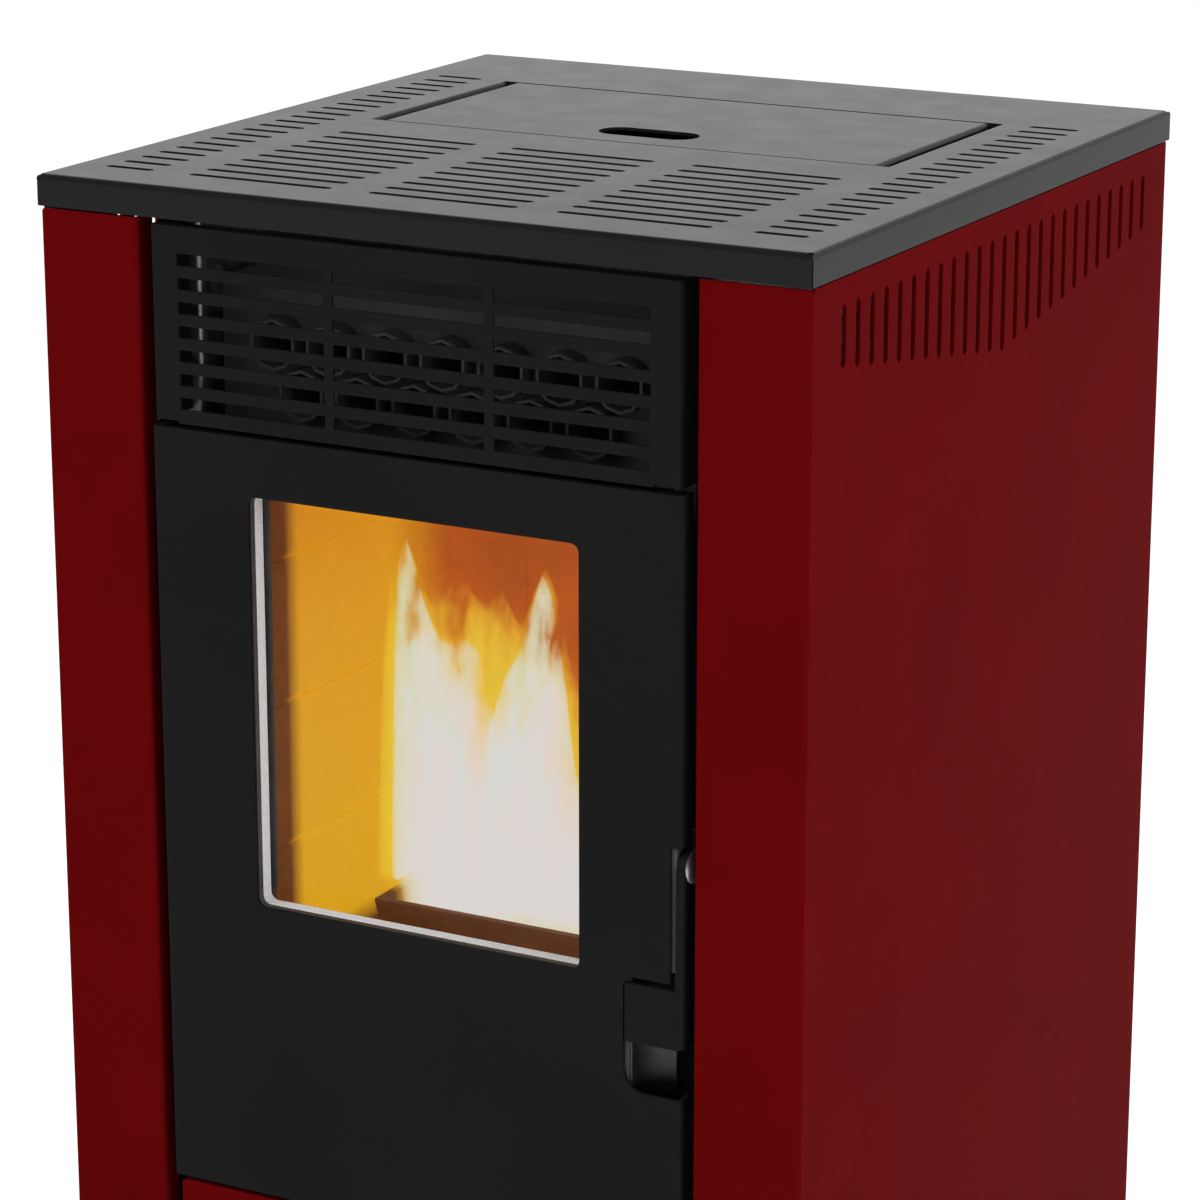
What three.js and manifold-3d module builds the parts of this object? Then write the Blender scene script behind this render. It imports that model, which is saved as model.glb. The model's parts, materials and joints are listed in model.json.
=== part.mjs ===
// Pellet stove: painted sheet-steel casing round a welded firebox, with the
// hopper, auger, fans and controls that it needs to burn wood pellets.
// Millimetres. +X is the right-hand side seen from the front, +Y the back, +Z up.
// The floor is Z = 0 and the middle of the whole stove stands over the origin.

import * as THREE from 'three';
import { mergeVertices } from 'three/addons/utils/BufferGeometryUtils.js';
import Module from 'manifold-3d';

const wasm = await Module();
wasm.setup();

// ---------------------------------------------------------------- casing
const WIDTH = 480; // top plate, side to side
const DEPTH = 503; // top plate, front to back
const HEIGHT = 880; // floor to top surface
const SHEET = 2; // painted casing sheet
const THIN_SHEET = 1.5; // galvanised inner sheet
const SEAT = 0.3; // gap between pieces that touch
const BEND = 3; // outside radius of a folded edge

const LIP = 18; // height of the top plate's folded edge
const LIP_RELIEF = 1.6; // radius of the hole where two folds meet
const LIP_SLIT = 0.7; // gap between two folds at a corner
const SLOT = 5.5; // width of the punched air slots
const SLOT_PITCH = 17.5;
const SLOT_FACETS = 1; // half the facets on a slot's round end
const SLOT_MARGIN = 39; // front edge to the first slot
const EDGE_SLOTS = 22;
const EDGE_SLOT_LENGTH = 32.5;
const EDGE_SLOT_INSET = 36.6; // top plate's side edge to the middle of a side row
const FIELD_SLOTS = 10;
const FIELD_EDGE = 76.2; // top plate's side edge to the outer field
const FIELD_GAP = 23.1; // between two of the three fields of slots

const PANEL_INSET = 1; // side panels stand back from the top plate's edge
const PANEL_GAP = 1.2; // shadow line under the top plate
const PANEL_FRONT = 65; // width of the red front flange
const PANEL_RETURN = 14; // folded edge behind a flange
const PANEL_BOTTOM = 30; // floor to the panels' lower edge
const PANEL_CORNER = 4; // rounded upper outer corner
const SIDE_SLOTS = 25;
const SIDE_SLOT_PITCH = 17.6;
const SIDE_SLOT_TOP = 33; // top surface to the slots' upper ends
const SIDE_SLOT_SHORT = 35; // first and last slot
const SIDE_SLOT_LONG = 67.5; // middle slot

// ---------------------------------------------------------------- hopper lid
const LID_SIDE = 77.5; // top plate's side edge to the lid
const LID_DEPTH = 159.5;
const LID_FRONT = -6; // Y of the lid's front edge
const LID_SIDE_GAP = 5.8;
const LID_FRONT_GAP = 1.5;
const LID_BACK_GAP = 2.5;
const LID_FLANGE = 11; // height of the lid's folded sides
const OPENING_FLANGE = 12; // height of the opening's folded sides
const GRIP_SLOT_LENGTH = 64;
const GRIP_SLOT_WIDTH = 26;
const GRIP_SLOT_SETBACK = 33; // lid front edge to the slot's middle
const LID_PIN = 2.5; // hinge pin radius
const LID_PIN_BACK = 4; // pin axis to the lid's back edge
const LID_PIN_DROP = 5.5; // pin axis below the top surface
const PIN_PLAY = 0.25; // radial play on every pin and shaft

// ---------------------------------------------------------------- front
const GRILLE_TOP = 21.5; // below the top surface
const GRILLE_HEIGHT = 111.5;
const GRILLE_SIDE_GAP = 9; // to the side panels' flanges
const GRILLE_COLUMNS = 3;
const GRILLE_ROWS = 7;
const GRILLE_EDGE = 17.5; // panel edge to the first slots
const GRILLE_SLOT_HEIGHT = 6.8;
const GRILLE_BAR = 5.6; // between two columns of slots
const GRILLE_ROW_PITCH = 13.55;
const GRILLE_FIRST_ROW = 15.2; // panel top to the first slot's upper edge
const GRILLE_TOP_FOLD = 10;
const GRILLE_BOTTOM_FOLD = 12;
const GRILLE_NOTCH = 16; // bottom fold stops short of each end

const DOOR_GAP = 6.75; // door to the side panels' flanges
const DOOR_TOP = 136; // below the top surface
const DOOR_HEIGHT = 453;
const DOOR_SHEET = 2.5;
const DOOR_FOLD = 12;
const WINDOW_SIDE = 62.75; // door edge to the window
const WINDOW_HEIGHT = 241.5;
const WINDOW_TOP = 169.7; // below the top surface
const WINDOW_CORNER = 5;
const NOTCH_DEPTH = 35.5; // hand notch, from the door's right edge
const NOTCH_TOP = 409.5; // below the top surface
const NOTCH_BOTTOM = 477;
const NOTCH_TOP_RADIUS = 7;
const NOTCH_BOTTOM_RADIUS = 13;
const ARM_SLOT_WIDTH = 7; // narrow notch beside the handle's arm

const FRAME_PLATE = 4; // door frame's front plate
const ROPE = 9; // diameter of the door rope
const ROPE_SIDE = 40.25; // door edge to the rope's centre line
const ROPE_MARGIN_TOP = 11; // door top edge to the rope's centre line
const ROPE_MARGIN_BOTTOM = 35;
const ROPE_CORNER = 14;
const CHANNEL_WALL = 2.5;
const CHANNEL_DEPTH = 24; // front plate's back to the channel's edge
const GLASS_THICKNESS = 4;
const GLASS_OVERLAP = 12; // glass beyond the window on each side
const GLASS_SEAL = 8; // depth of the white glass gasket
const GLASS_SEAL_LAP = 9;
const RETAINER_WIDTH = 16;
const SHIELD_THICKNESS = 2;
const SHIELD_STANDOFF = 13;

const ARM_THICKNESS = 5;
const ARM_DEPTH = 18; // front to back
const ARM_TOP = 334.5; // below the top surface
const PIVOT_DROP = 343.5; // handle pivot below the top surface
const PIVOT_SETBACK = 11; // door front to the pivot
const PIVOT_BOSS = 9;
const PIVOT_PIN = 4;
const PIVOT_HEAD = 9.5;
const PIVOT_HEAD_LENGTH = 2.6;
const GRIP_WIDTH = 35.5;
const GRIP_TOP = 413.5;
const GRIP_HEIGHT = 34;
const GRIP_THICKNESS = 2.5;
const GRIP_BEND = 5;
const CUP_RADIUS = 18;
const HOOK_REACH = 21; // pivot to the hook's nose
const CATCH_STUD = 3;
const CATCH_STUD_BACK = 14; // pivot to the catch's stud
const CATCH_STUD_RISE = 3.5;

const HINGE_INSET = 12.25; // door edge to the hinge axis
const HINGE_SETBACK = 11.5; // door front to the hinge axis
const HINGE_PIN = 3.5;
const HINGE_UPPER = 205; // below the top surface
const HINGE_LOWER = 69; // above the door's lower edge
const KNUCKLE_HEIGHT = 20;
const KNUCKLE_RADIUS = 6.5;
const HINGE_PLATE = 4;
const HINGE_PLATE_WIDTH = 10;

const LOWER_PANEL_SIDE_GAP = 10; // to the side panels' flanges
const LOWER_PANEL_GAP = 3; // door to lower panel
const LOWER_PANEL_CORNER = 5;

// ---------------------------------------------------------------- inner frame
const FRAME_INSET = 18; // side panels' flanges to the inner face of the frame's side sheets
const FRAME_FLANGE = 15;
const FRAME_WINDOW = 80;
const FRAME_WINDOWS = [[65, 300], [-180, 140]]; // front lower corner of each window
const FRAME_FRONT = 35.5; // top plate front edge to the frame's front flange
const FRAME_BACK = 25.5; // top plate back edge to the frame's back flange
const TRAY_LIP = 24;
const TRAY_BOTTOM = 26; // floor to the base tray
const FOOT_SIDE = 45; // top plate's side edge to a foot's middle
const FOOT_END = 51.5; // top plate's front or back edge to a foot's middle
const FOOT_RADIUS = 20;
const FOOT_PAD = 14;
const FOOT_STUD = 5;
const FOOT_STUD_TOP = 44;
const FOOT_NUT = 9.5;

// ---------------------------------------------------------------- firebox
const BOX_GAP = 6; // frame to the firebox
const BOX_FRONT = 48.5; // top plate front edge to the firebox
const BOX_DEPTH = 165;
const BOX_TOP = 58; // below the top surface
const DOORWAY_LAP = 2; // doorway's edge inside the rope's centre line
const BOX_WALL = 4;
const TUBE = 15; // heat-exchanger tube, outside radius
const TUBE_WALL = 2;
const TUBE_PITCH = 36.5;
const TUBE_ROW_PITCH = 27.3;
const TUBE_EDGE = 40; // firebox side to the first tube's centre, at least
const TUBE_ROW_DROP = 91.2; // top surface to the upper row
const TUBE_PROUD = 12.5;
const TUBE_SIDES = 10;
const FLUE_SIDES = 20;
const LINER = 15; // vermiculite board
const BAFFLE = 4;
const BAFFLE_DROP = 140; // top surface to the baffle's underside
const POT_X = 94; // half the burn pot's width
const POT_FRONT = 110; // top plate front edge to the pot's rim
const POT_DEPTH = 78;
const POT_RISE = 48; // shelf to the pot's rim
const POT_HEIGHT = 62;
const POT_WALL = 5;
const POT_TAPER = 9;
const POT_LEDGE = 6;
const POT_HOLE = 3;
const SHELF_RISE = 68; // firebox's underside to the upper face of the shelf under the pot
const SHELF = 3;
const PAN_GAP = 13; // doorway to the ash pan
const PAN_DEPTH = 120;
const PAN_HEIGHT = 46;
const PAN_SETBACK = 62; // top plate front edge to the ash pan
const IGNITER = 5;
const CRADLE_INSET = 3; // firebox side to the cradle's
const CRADLE_DEPTH = 148;
const CRADLE_FLANGE = 22;
const CRADLE_WINDOW_BOTTOM = 90; // above the floor
const CRADLE_WINDOW_DROP = 74; // below the firebox
const CRADLE_WINDOW_INSET = 25;
const CRADLE_HOLE_X = 90;
const CRADLE_HOLE_INSET = 20;

// ---------------------------------------------------------------- feed
const HOPPER_GAP = 6; // frame to the hopper's mouth
const HOPPER_FRONT = 2;
const HOPPER_BACK = 146;
const HOPPER_FLANGE = 20;
const HOPPER_DROP = 17.7; // top surface to the hopper's flange
const HOPPER_SLOPE = 142; // height of the sloping walls
const OUTLET_RISE = 103; // auger's lower end to the hopper's outlet
const OUTLET_X = 26;
const OUTLET_FRONT = 100;
const OUTLET_BACK = 140;
const GRID_BAR = 4;
const GRID_DROP = 55;
const GRID_COLUMNS = 6;
const GRID_ROWS = 3;
const SEAL_HEIGHT = 2.9;

const AUGER_Y = 150; // lower end of the auger's axis
const AUGER_RISE = 5; // pot's rim to the auger's lower end
const AUGER_TILT = 43; // degrees above the horizontal
const AUGER_LENGTH = 190;
const AUGER_TUBE = 30;
const AUGER_TUBE_WALL = 2.5;
const SCREW = 24.5;
const SCREW_SHAFT = 8;
const SCREW_PITCH = 38;
const SCREW_TURNS = 4.5;
const FLIGHT = 3;
const THROAT_DEPTH = 25; // the throat starts this far below the auger's lower end
const CHUTE_X = 24;
const CHUTE_HALF = 20;
const CHUTE_AT = 163; // along the auger, from its lower end
const CHUTE_WALL = 2;
const CHUTE_STUB = 38;
const CHUTE_REACH = 112;
const GEARMOTOR = 27;
const GEARBOX_LENGTH = 26;
const MOTOR_LENGTH = 30;

// ---------------------------------------------------------------- air and smoke
const PLENUM_INSET = 8; // firebox side to the plenum's
const PLENUM_DEPTH = 27; // behind the firebox
const PLENUM_BOTTOM = 205;
const PLENUM_SMOKE_GAP = 4; // the plenum is narrower beside the smoke box
const FAN_CASE = 52; // radius of the fan's casing
const FAN_Y = -75;
const FAN_Z = 130;
const FAN_SIDE = 52; // cradle's leg to the fan casing
const FAN_SMOKE_GAP = 6; // fan casing to the smoke box
const FAN_RADIUS = 28;
const FAN_BLADES = 10;
const FAN_MOTOR = 29;
const FAN_MOTOR_LENGTH = 44;
const SHAFT = 4;

const SMOKE_WIDTH = 29.7;
const SMOKE_RISE = 56; // shelf to the smoke port's upper edge
const SMOKE_BOTTOM = 150;
const SMOKE_BACK = 142;
const SCROLL_INSET = 92; // frame to the extractor's inner face
const SCROLL_WIDTH = 48;
const SCROLL_Y = 85;
const SCROLL_Z = 200;
const SCROLL_SMALL = 57;
const SCROLL_LARGE = 96;
const SCROLL_END = 170; // Y of the scroll's outlet flange
const OUTLET_FLANGE = 84;
const EYE = 33;
const IMPELLER = 48;
const IMPELLER_BLADES = 8;
const EXTRACTOR_MOTOR = 30;
const EXTRACTOR_MOTOR_LENGTH = 36;
const FLUE = 40; // flue spigot, outside radius
const FLUE_PROUD = 24; // beyond the top plate's back edge
const INLET = 25; // combustion air pipe, outside radius
const INLET_SIDE = 55; // firebox side to the inlet's axis
const INLET_RISE = 28; // firebox's underside to the inlet's axis
const PIPE_WALL = 1.5;

// ---------------------------------------------------------------- back and electrics
const VENT_WIDTH = 70;
const VENT_HEIGHT = 5;
const VENT_PITCH = 12;
const VENT_ROWS = 7;
const VENT_X = 120;
const VENT_DROP = 280; // top surface to the lowest vent
const SOCKET_INSET = 36; // top plate's side edge to the socket's middle
const SOCKET_Z = 110;
const SOCKET_WIDTH = 30;
const SOCKET_HEIGHT = 26;
const SWITCH_Z = 158;
const SWITCH_WIDTH = 22;
const SWITCH_HEIGHT = 28;
const ROCKER_RADIUS = 9;
const BOARD_STANDOFF = 8; // frame to the circuit board
const BOARD_Y0 = 40;
const BOARD_Y1 = 180;
const BOARD_Z0 = 90;
const BOARD_Z1 = 260;

// ---------------------------------------------------------------- derived places
const front = -DEPTH / 2;
const back = DEPTH / 2;
const under = HEIGHT - SHEET; // underside of the top plate
const panelX = WIDTH / 2 - PANEL_INSET;
const panelFront = front + PANEL_INSET;
const panelBack = back - PANEL_INSET;
const panelTop = HEIGHT - LIP - PANEL_GAP;
const flangeX = panelX - PANEL_FRONT; // inner edge of a side panel's front flange
const frameFront = front + FRAME_FRONT;
const frameBack = back - FRAME_BACK;
const frameTop = under - SEAT;
const trayTop = TRAY_BOTTOM + SHEET;
const trayX = panelX - SHEET - SEAT;
const trayFront = frameFront - SEAT - SHEET;
const trayBack = frameBack + SEAT + SHEET;
const boxFront = front + BOX_FRONT;
const boxBack = boxFront + BOX_DEPTH;
const boxTop = HEIGHT - BOX_TOP;
const lidX = WIDTH / 2 - LID_SIDE;
const lidBack = LID_FRONT + LID_DEPTH;
const openingX = lidX + LID_SIDE_GAP;
const openingFront = LID_FRONT - LID_FRONT_GAP;
const openingBack = lidBack + LID_BACK_GAP;
const lidPinY = lidBack - LID_PIN_BACK;
const lidPinZ = HEIGHT - LID_PIN_DROP;
const doorX = flangeX - DOOR_GAP;
const doorTop = HEIGHT - DOOR_TOP;
const doorBottom = doorTop - DOOR_HEIGHT;
const doorBack = front + DOOR_SHEET; // back of the door's front sheet
const windowX = doorX - WINDOW_SIDE;
const windowTop = HEIGHT - WINDOW_TOP;
const windowBottom = windowTop - WINDOW_HEIGHT;
const framePlateFront = doorBack + SEAT;
const framePlateBack = framePlateFront + FRAME_PLATE;
const channelBack = framePlateBack + CHANNEL_DEPTH;
const ropeTop = doorTop - ROPE_MARGIN_TOP;
const ropeBottom = doorBottom + ROPE_MARGIN_BOTTOM;
const ropeX = doorX - ROPE_SIDE;
const hingeX = HINGE_INSET - doorX;
const edgeSlotX = WIDTH / 2 - EDGE_SLOT_INSET;
const fieldSlotLength = (WIDTH - 2 * (FIELD_EDGE + FIELD_GAP)) / 3;
const fieldPitch = fieldSlotLength + FIELD_GAP;
const frameX = flangeX - FRAME_INSET;
const footX = WIDTH / 2 - FOOT_SIDE;
const footY = DEPTH / 2 - FOOT_END;
const boxX = frameX - BOX_GAP;
const cradleX = boxX - CRADLE_INSET;
const plenumX = boxX - PLENUM_INSET;
const hopperX = frameX - HOPPER_GAP;
const tubesUpper = Math.floor((2 * (boxX - TUBE_EDGE)) / TUBE_PITCH) + 1;
const scrollX = frameX - SCROLL_INSET;
const smokeX = scrollX - SMOKE_WIDTH - SEAT;
const fanX1 = smokeX - FAN_SMOKE_GAP;
const fanX0 = FAN_SIDE - cradleX;
const plenumStepX = smokeX - PLENUM_SMOKE_GAP;
const inletX = INLET_SIDE - boxX;
const socketX = SOCKET_INSET - WIDTH / 2;
const boardX = BOARD_STANDOFF - frameX;
const boxBottom = ropeBottom + DOORWAY_LAP - BOX_WALL;
const doorwayX = ropeX - DOORWAY_LAP;
const panX = doorwayX - PAN_GAP;
const shelfTop = boxBottom + SHELF_RISE;
const potRim = shelfTop + POT_RISE;
const augerZ = potRim + AUGER_RISE;
const hopperOutlet = augerZ + OUTLET_RISE;
const hopperShoulder = hopperOutlet + HOPPER_SLOPE;
const hopperTop = HEIGHT - HOPPER_DROP;
const smokeTop = shelfTop + SMOKE_RISE;
const plenumStepZ = smokeTop + PLENUM_SMOKE_GAP;
const inletZ = boxBottom + INLET_RISE;
const ventZ = HEIGHT - VENT_DROP;
const throatBottom = augerZ - THROAT_DEPTH;
const channelHalf = ROPE / 2 + SEAT;
const glassFront = framePlateBack + SEAT + GLASS_SEAL + SEAT;
const glassBack = glassFront + GLASS_THICKNESS;
const armX1 = doorX + 1; // outer face of the handle's arm
const armX0 = armX1 - ARM_THICKNESS;
const pivotY = front + PIVOT_SETBACK;
const pivotZ = HEIGHT - PIVOT_DROP;
const hingeY = front + HINGE_SETBACK;
const lowerPanelTop = doorBottom - LOWER_PANEL_GAP;
const augerTilt = THREE.MathUtils.degToRad(AUGER_TILT);
const plenumBack = boxBack + PLENUM_DEPTH;
const flueZ = SCROLL_Z - (SCROLL_LARGE + SCROLL_SMALL * Math.sin(Math.PI / 4)) / 2;
const flueX = scrollX + SCROLL_WIDTH / 2;
const flueEnd = back + FLUE_PROUD;
const rearPanelY = frameBack + SEAT;

// ---------------------------------------------------------------- materials
function finish(color, roughness, metalness) {
  return new THREE.MeshStandardMaterial({ color, roughness, metalness });
}

const red = finish(0x620609, 0.35, 0.1);
const black = finish(0x232323, 0.55, 0.2);
const galvanised = finish(0x8d9296, 0.45, 0.8);
const rawSteel = finish(0x4a4845, 0.6, 0.7);
const castIron = finish(0x2b2725, 0.8, 0.5);
const zinc = finish(0xb9bdc2, 0.25, 1);
const vermiculite = finish(0xc9a45c, 0.95, 0);
const whiteFibre = finish(0xd9d8d2, 0.9, 0);
const greyRope = finish(0x5b5a57, 0.95, 0);
const ceramicGlass = new THREE.MeshStandardMaterial({
  color: 0xe9dcc6, roughness: 0.05, metalness: 0, transparent: true, opacity: 0.3,
});
const rubber = finish(0x161616, 0.9, 0);
const plastic = finish(0x1c1c1e, 0.5, 0);
const circuit = finish(0x1d5a35, 0.6, 0.1);
const aluminium = finish(0xa9acae, 0.4, 0.9);

// ---------------------------------------------------------------- solids
// Position-only copy with shared vertices and no collapsed triangles.
function welded(geometry) {
  const bare = new THREE.BufferGeometry();
  bare.setAttribute('position', geometry.getAttribute('position'));
  bare.setIndex(geometry.index);
  const merged = mergeVertices(bare, 1e-4);
  const source = merged.index.array;
  const kept = [];
  for (let i = 0; i < source.length; i += 3) {
    const [a, b, c] = source.subarray(i, i + 3);
    if (a !== b && b !== c && c !== a) {
      kept.push(a, b, c);
    }
  }
  merged.setIndex(kept);
  return merged;
}

function toSolid(geometry) {
  const merged = welded(geometry);
  return new wasm.Manifold(new wasm.Mesh({
    numProp: 3,
    vertProperties: Float32Array.from(merged.getAttribute('position').array),
    triVerts: Uint32Array.from(merged.index.array),
  }));
}

function toGeometry(solid) {
  const mesh = solid.getMesh();
  const geometry = new THREE.BufferGeometry();
  geometry.setAttribute('position', new THREE.BufferAttribute(Float32Array.from(mesh.vertProperties), 3));
  geometry.setIndex(new THREE.BufferAttribute(Uint32Array.from(mesh.triVerts), 1));
  return geometry;
}

function join(...pieces) {
  return toGeometry(pieces.map(toSolid).reduce((sum, piece) => sum.add(piece)));
}

function cut(piece, ...cutters) {
  return toGeometry(toSolid(piece).subtract(toSolid(join(...cutters))));
}

function common(first, second) {
  return toGeometry(toSolid(first).intersect(toSolid(second)));
}

function box(x0, x1, y0, y1, z0, z1) {
  const geometry = new THREE.BoxGeometry(x1 - x0, y1 - y0, z1 - z0);
  return geometry.translate((x0 + x1) / 2, (y0 + y1) / 2, (z0 + z1) / 2);
}

// Extrudes a flat shape along an axis: (x, y) along Z, (x, z) along Y or (y, z) along X.
function prism(shape, axis, from, to, curveSegments = 2) {
  const geometry = new THREE.ExtrudeGeometry(shape, { depth: to - from, bevelEnabled: false, curveSegments });
  const turned = new THREE.BufferGeometry();
  turned.setAttribute('position', geometry.getAttribute('position'));
  turned.setIndex([...Array(geometry.getAttribute('position').count).keys()]);
  if (axis === 'z') {
    return turned.translate(0, 0, from);
  }
  if (axis === 'y') {
    return turned.rotateX(Math.PI / 2).translate(0, to, 0);
  }
  const toX = new THREE.Matrix4().set(0, 0, 1, from, 1, 0, 0, 0, 0, 1, 0, 0, 0, 0, 0, 1);
  return turned.applyMatrix4(toX);
}

// Cylinder along an axis; centre is the pair of coordinates across that axis.
function rod(axis, radius, centre, from, to, sides = 20, tipRadius = radius) {
  const geometry = new THREE.CylinderGeometry(tipRadius, radius, to - from, sides);
  const [u, v] = centre;
  const middle = (from + to) / 2;
  if (axis === 'x') {
    return geometry.rotateZ(-Math.PI / 2).translate(middle, u, v);
  }
  if (axis === 'y') {
    return geometry.translate(u, middle, v);
  }
  return geometry.rotateX(Math.PI / 2).translate(u, v, middle);
}

function pipe(axis, radius, wall, centre, from, to, sides = 24) {
  return cut(
    rod(axis, radius, centre, from, to, sides),
    rod(axis, radius - wall, centre, from - 1, to + 1, sides),
  );
}

function rectangle(u0, u1, v0, v1, radius = 0) {
  const shape = new THREE.Shape();
  if (radius === 0) {
    shape.moveTo(u0, v0).lineTo(u1, v0).lineTo(u1, v1).lineTo(u0, v1);
    return shape.closePath();
  }
  shape.moveTo(u0 + radius, v0).lineTo(u1 - radius, v0);
  shape.absarc(u1 - radius, v0 + radius, radius, -Math.PI / 2, 0);
  shape.lineTo(u1, v1 - radius);
  shape.absarc(u1 - radius, v1 - radius, radius, 0, Math.PI / 2);
  shape.lineTo(u0 + radius, v1);
  shape.absarc(u0 + radius, v1 - radius, radius, Math.PI / 2, Math.PI);
  shape.lineTo(u0, v0 + radius);
  shape.absarc(u0 + radius, v0 + radius, radius, Math.PI, 1.5 * Math.PI);
  return shape;
}

// Slot with round ends, along u or along v.
function slot(u, v, length, width, upright = false) {
  const radius = width / 2;
  const half = length / 2 - radius;
  const shape = new THREE.Shape();
  if (upright) {
    shape.absarc(u, v + half, radius, 0, Math.PI);
    shape.absarc(u, v - half, radius, Math.PI, 2 * Math.PI);
  } else {
    shape.absarc(u + half, v, radius, -Math.PI / 2, Math.PI / 2);
    shape.absarc(u - half, v, radius, Math.PI / 2, 1.5 * Math.PI);
  }
  return shape.closePath();
}

// Section of a folded sheet. The points run along one face and the sheet lies on
// their left; every fold has the given outside radius.
function folded(points, thickness, radius = BEND, steps = 4) {
  const near = [];
  const far = [];
  const corners = points.map(([u, v]) => new THREE.Vector2(u, v));
  const last = corners.length - 1;
  const normal = (direction) => new THREE.Vector2(-direction.y, direction.x);
  const along = (i) => corners[i + 1].clone().sub(corners[i]).normalize();
  const put = (point, side, distance) => {
    near.push(point);
    far.push(point.clone().addScaledVector(side, distance));
  };
  put(corners[0], normal(along(0)), thickness);
  for (let i = 1; i < last; i += 1) {
    const before = along(i - 1);
    const after = along(i);
    const turn = Math.atan2(before.cross(after), before.dot(after));
    const left = turn > 0;
    const nearRadius = left ? radius : radius - thickness;
    const start = corners[i].clone().addScaledVector(before, -nearRadius * Math.tan(Math.abs(turn) / 2));
    const centre = start.clone().addScaledVector(normal(before), left ? nearRadius : -nearRadius);
    const spoke = start.clone().sub(centre);
    for (let step = 0; step <= steps; step += 1) {
      const point = spoke.clone().rotateAround(new THREE.Vector2(), (turn * step) / steps);
      const inward = point.clone().normalize().multiplyScalar(left ? -1 : 1);
      put(point.clone().add(centre), inward, thickness);
    }
  }
  put(corners[last], normal(along(last - 1)), thickness);
  return new THREE.Shape([...near, ...far.reverse()]);
}

// Thin strip that follows a list of points, its thickness on their left.
function strip(points, thickness) {
  const line = points.map(([u, v]) => new THREE.Vector2(u, v));
  const far = line.map((point, i) => {
    const before = line[Math.max(i - 1, 0)];
    const after = line[Math.min(i + 1, line.length - 1)];
    const direction = after.clone().sub(before).normalize();
    return new THREE.Vector2(point.x - direction.y * thickness, point.y + direction.x * thickness);
  });
  return new THREE.Shape([...line, ...far.reverse()]);
}

// Straight-sided funnel between two rectangles [x0, x1, y0, y1] at two heights.
function funnel(lower, z0, upper, z1) {
  const ring = ([x0, x1, y0, y1], z) => [x0, y0, z, x1, y0, z, x1, y1, z, x0, y1, z];
  const geometry = new THREE.BufferGeometry();
  const position = new Float32Array([...ring(lower, z0), ...ring(upper, z1)]);
  geometry.setAttribute('position', new THREE.BufferAttribute(position, 3));
  const index = [0, 2, 1, 0, 3, 2, 4, 5, 6, 4, 6, 7];
  for (let i = 0; i < 4; i += 1) {
    const next = (i + 1) % 4;
    index.push(i, next, next + 4, i, next + 4, i + 4);
  }
  geometry.setIndex(index);
  return geometry;
}

// Closed tube of round section along a closed outline in the X-Z plane.
function ringTube(outline, y, radius, sides = 6) {
  const position = [];
  const index = [];
  const count = outline.length;
  outline.forEach((point, i) => {
    const before = outline[(i + count - 1) % count];
    const after = outline[(i + 1) % count];
    const tangent = after.clone().sub(before).normalize();
    const outward = new THREE.Vector2(tangent.y, -tangent.x);
    for (let side = 0; side < sides; side += 1) {
      const angle = (2 * Math.PI * (side + 0.5)) / sides;
      const reach = radius * Math.cos(angle);
      position.push(point.x + outward.x * reach, y + radius * Math.sin(angle), point.y + outward.y * reach);
      const next = (side + 1) % sides;
      const ring = i * sides;
      const other = ((i + 1) % count) * sides;
      index.push(ring + side, other + next, other + side, ring + side, ring + next, other + next);
    }
  });
  const geometry = new THREE.BufferGeometry();
  geometry.setAttribute('position', new THREE.BufferAttribute(new Float32Array(position), 3));
  geometry.setIndex(index);
  return geometry;
}

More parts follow.
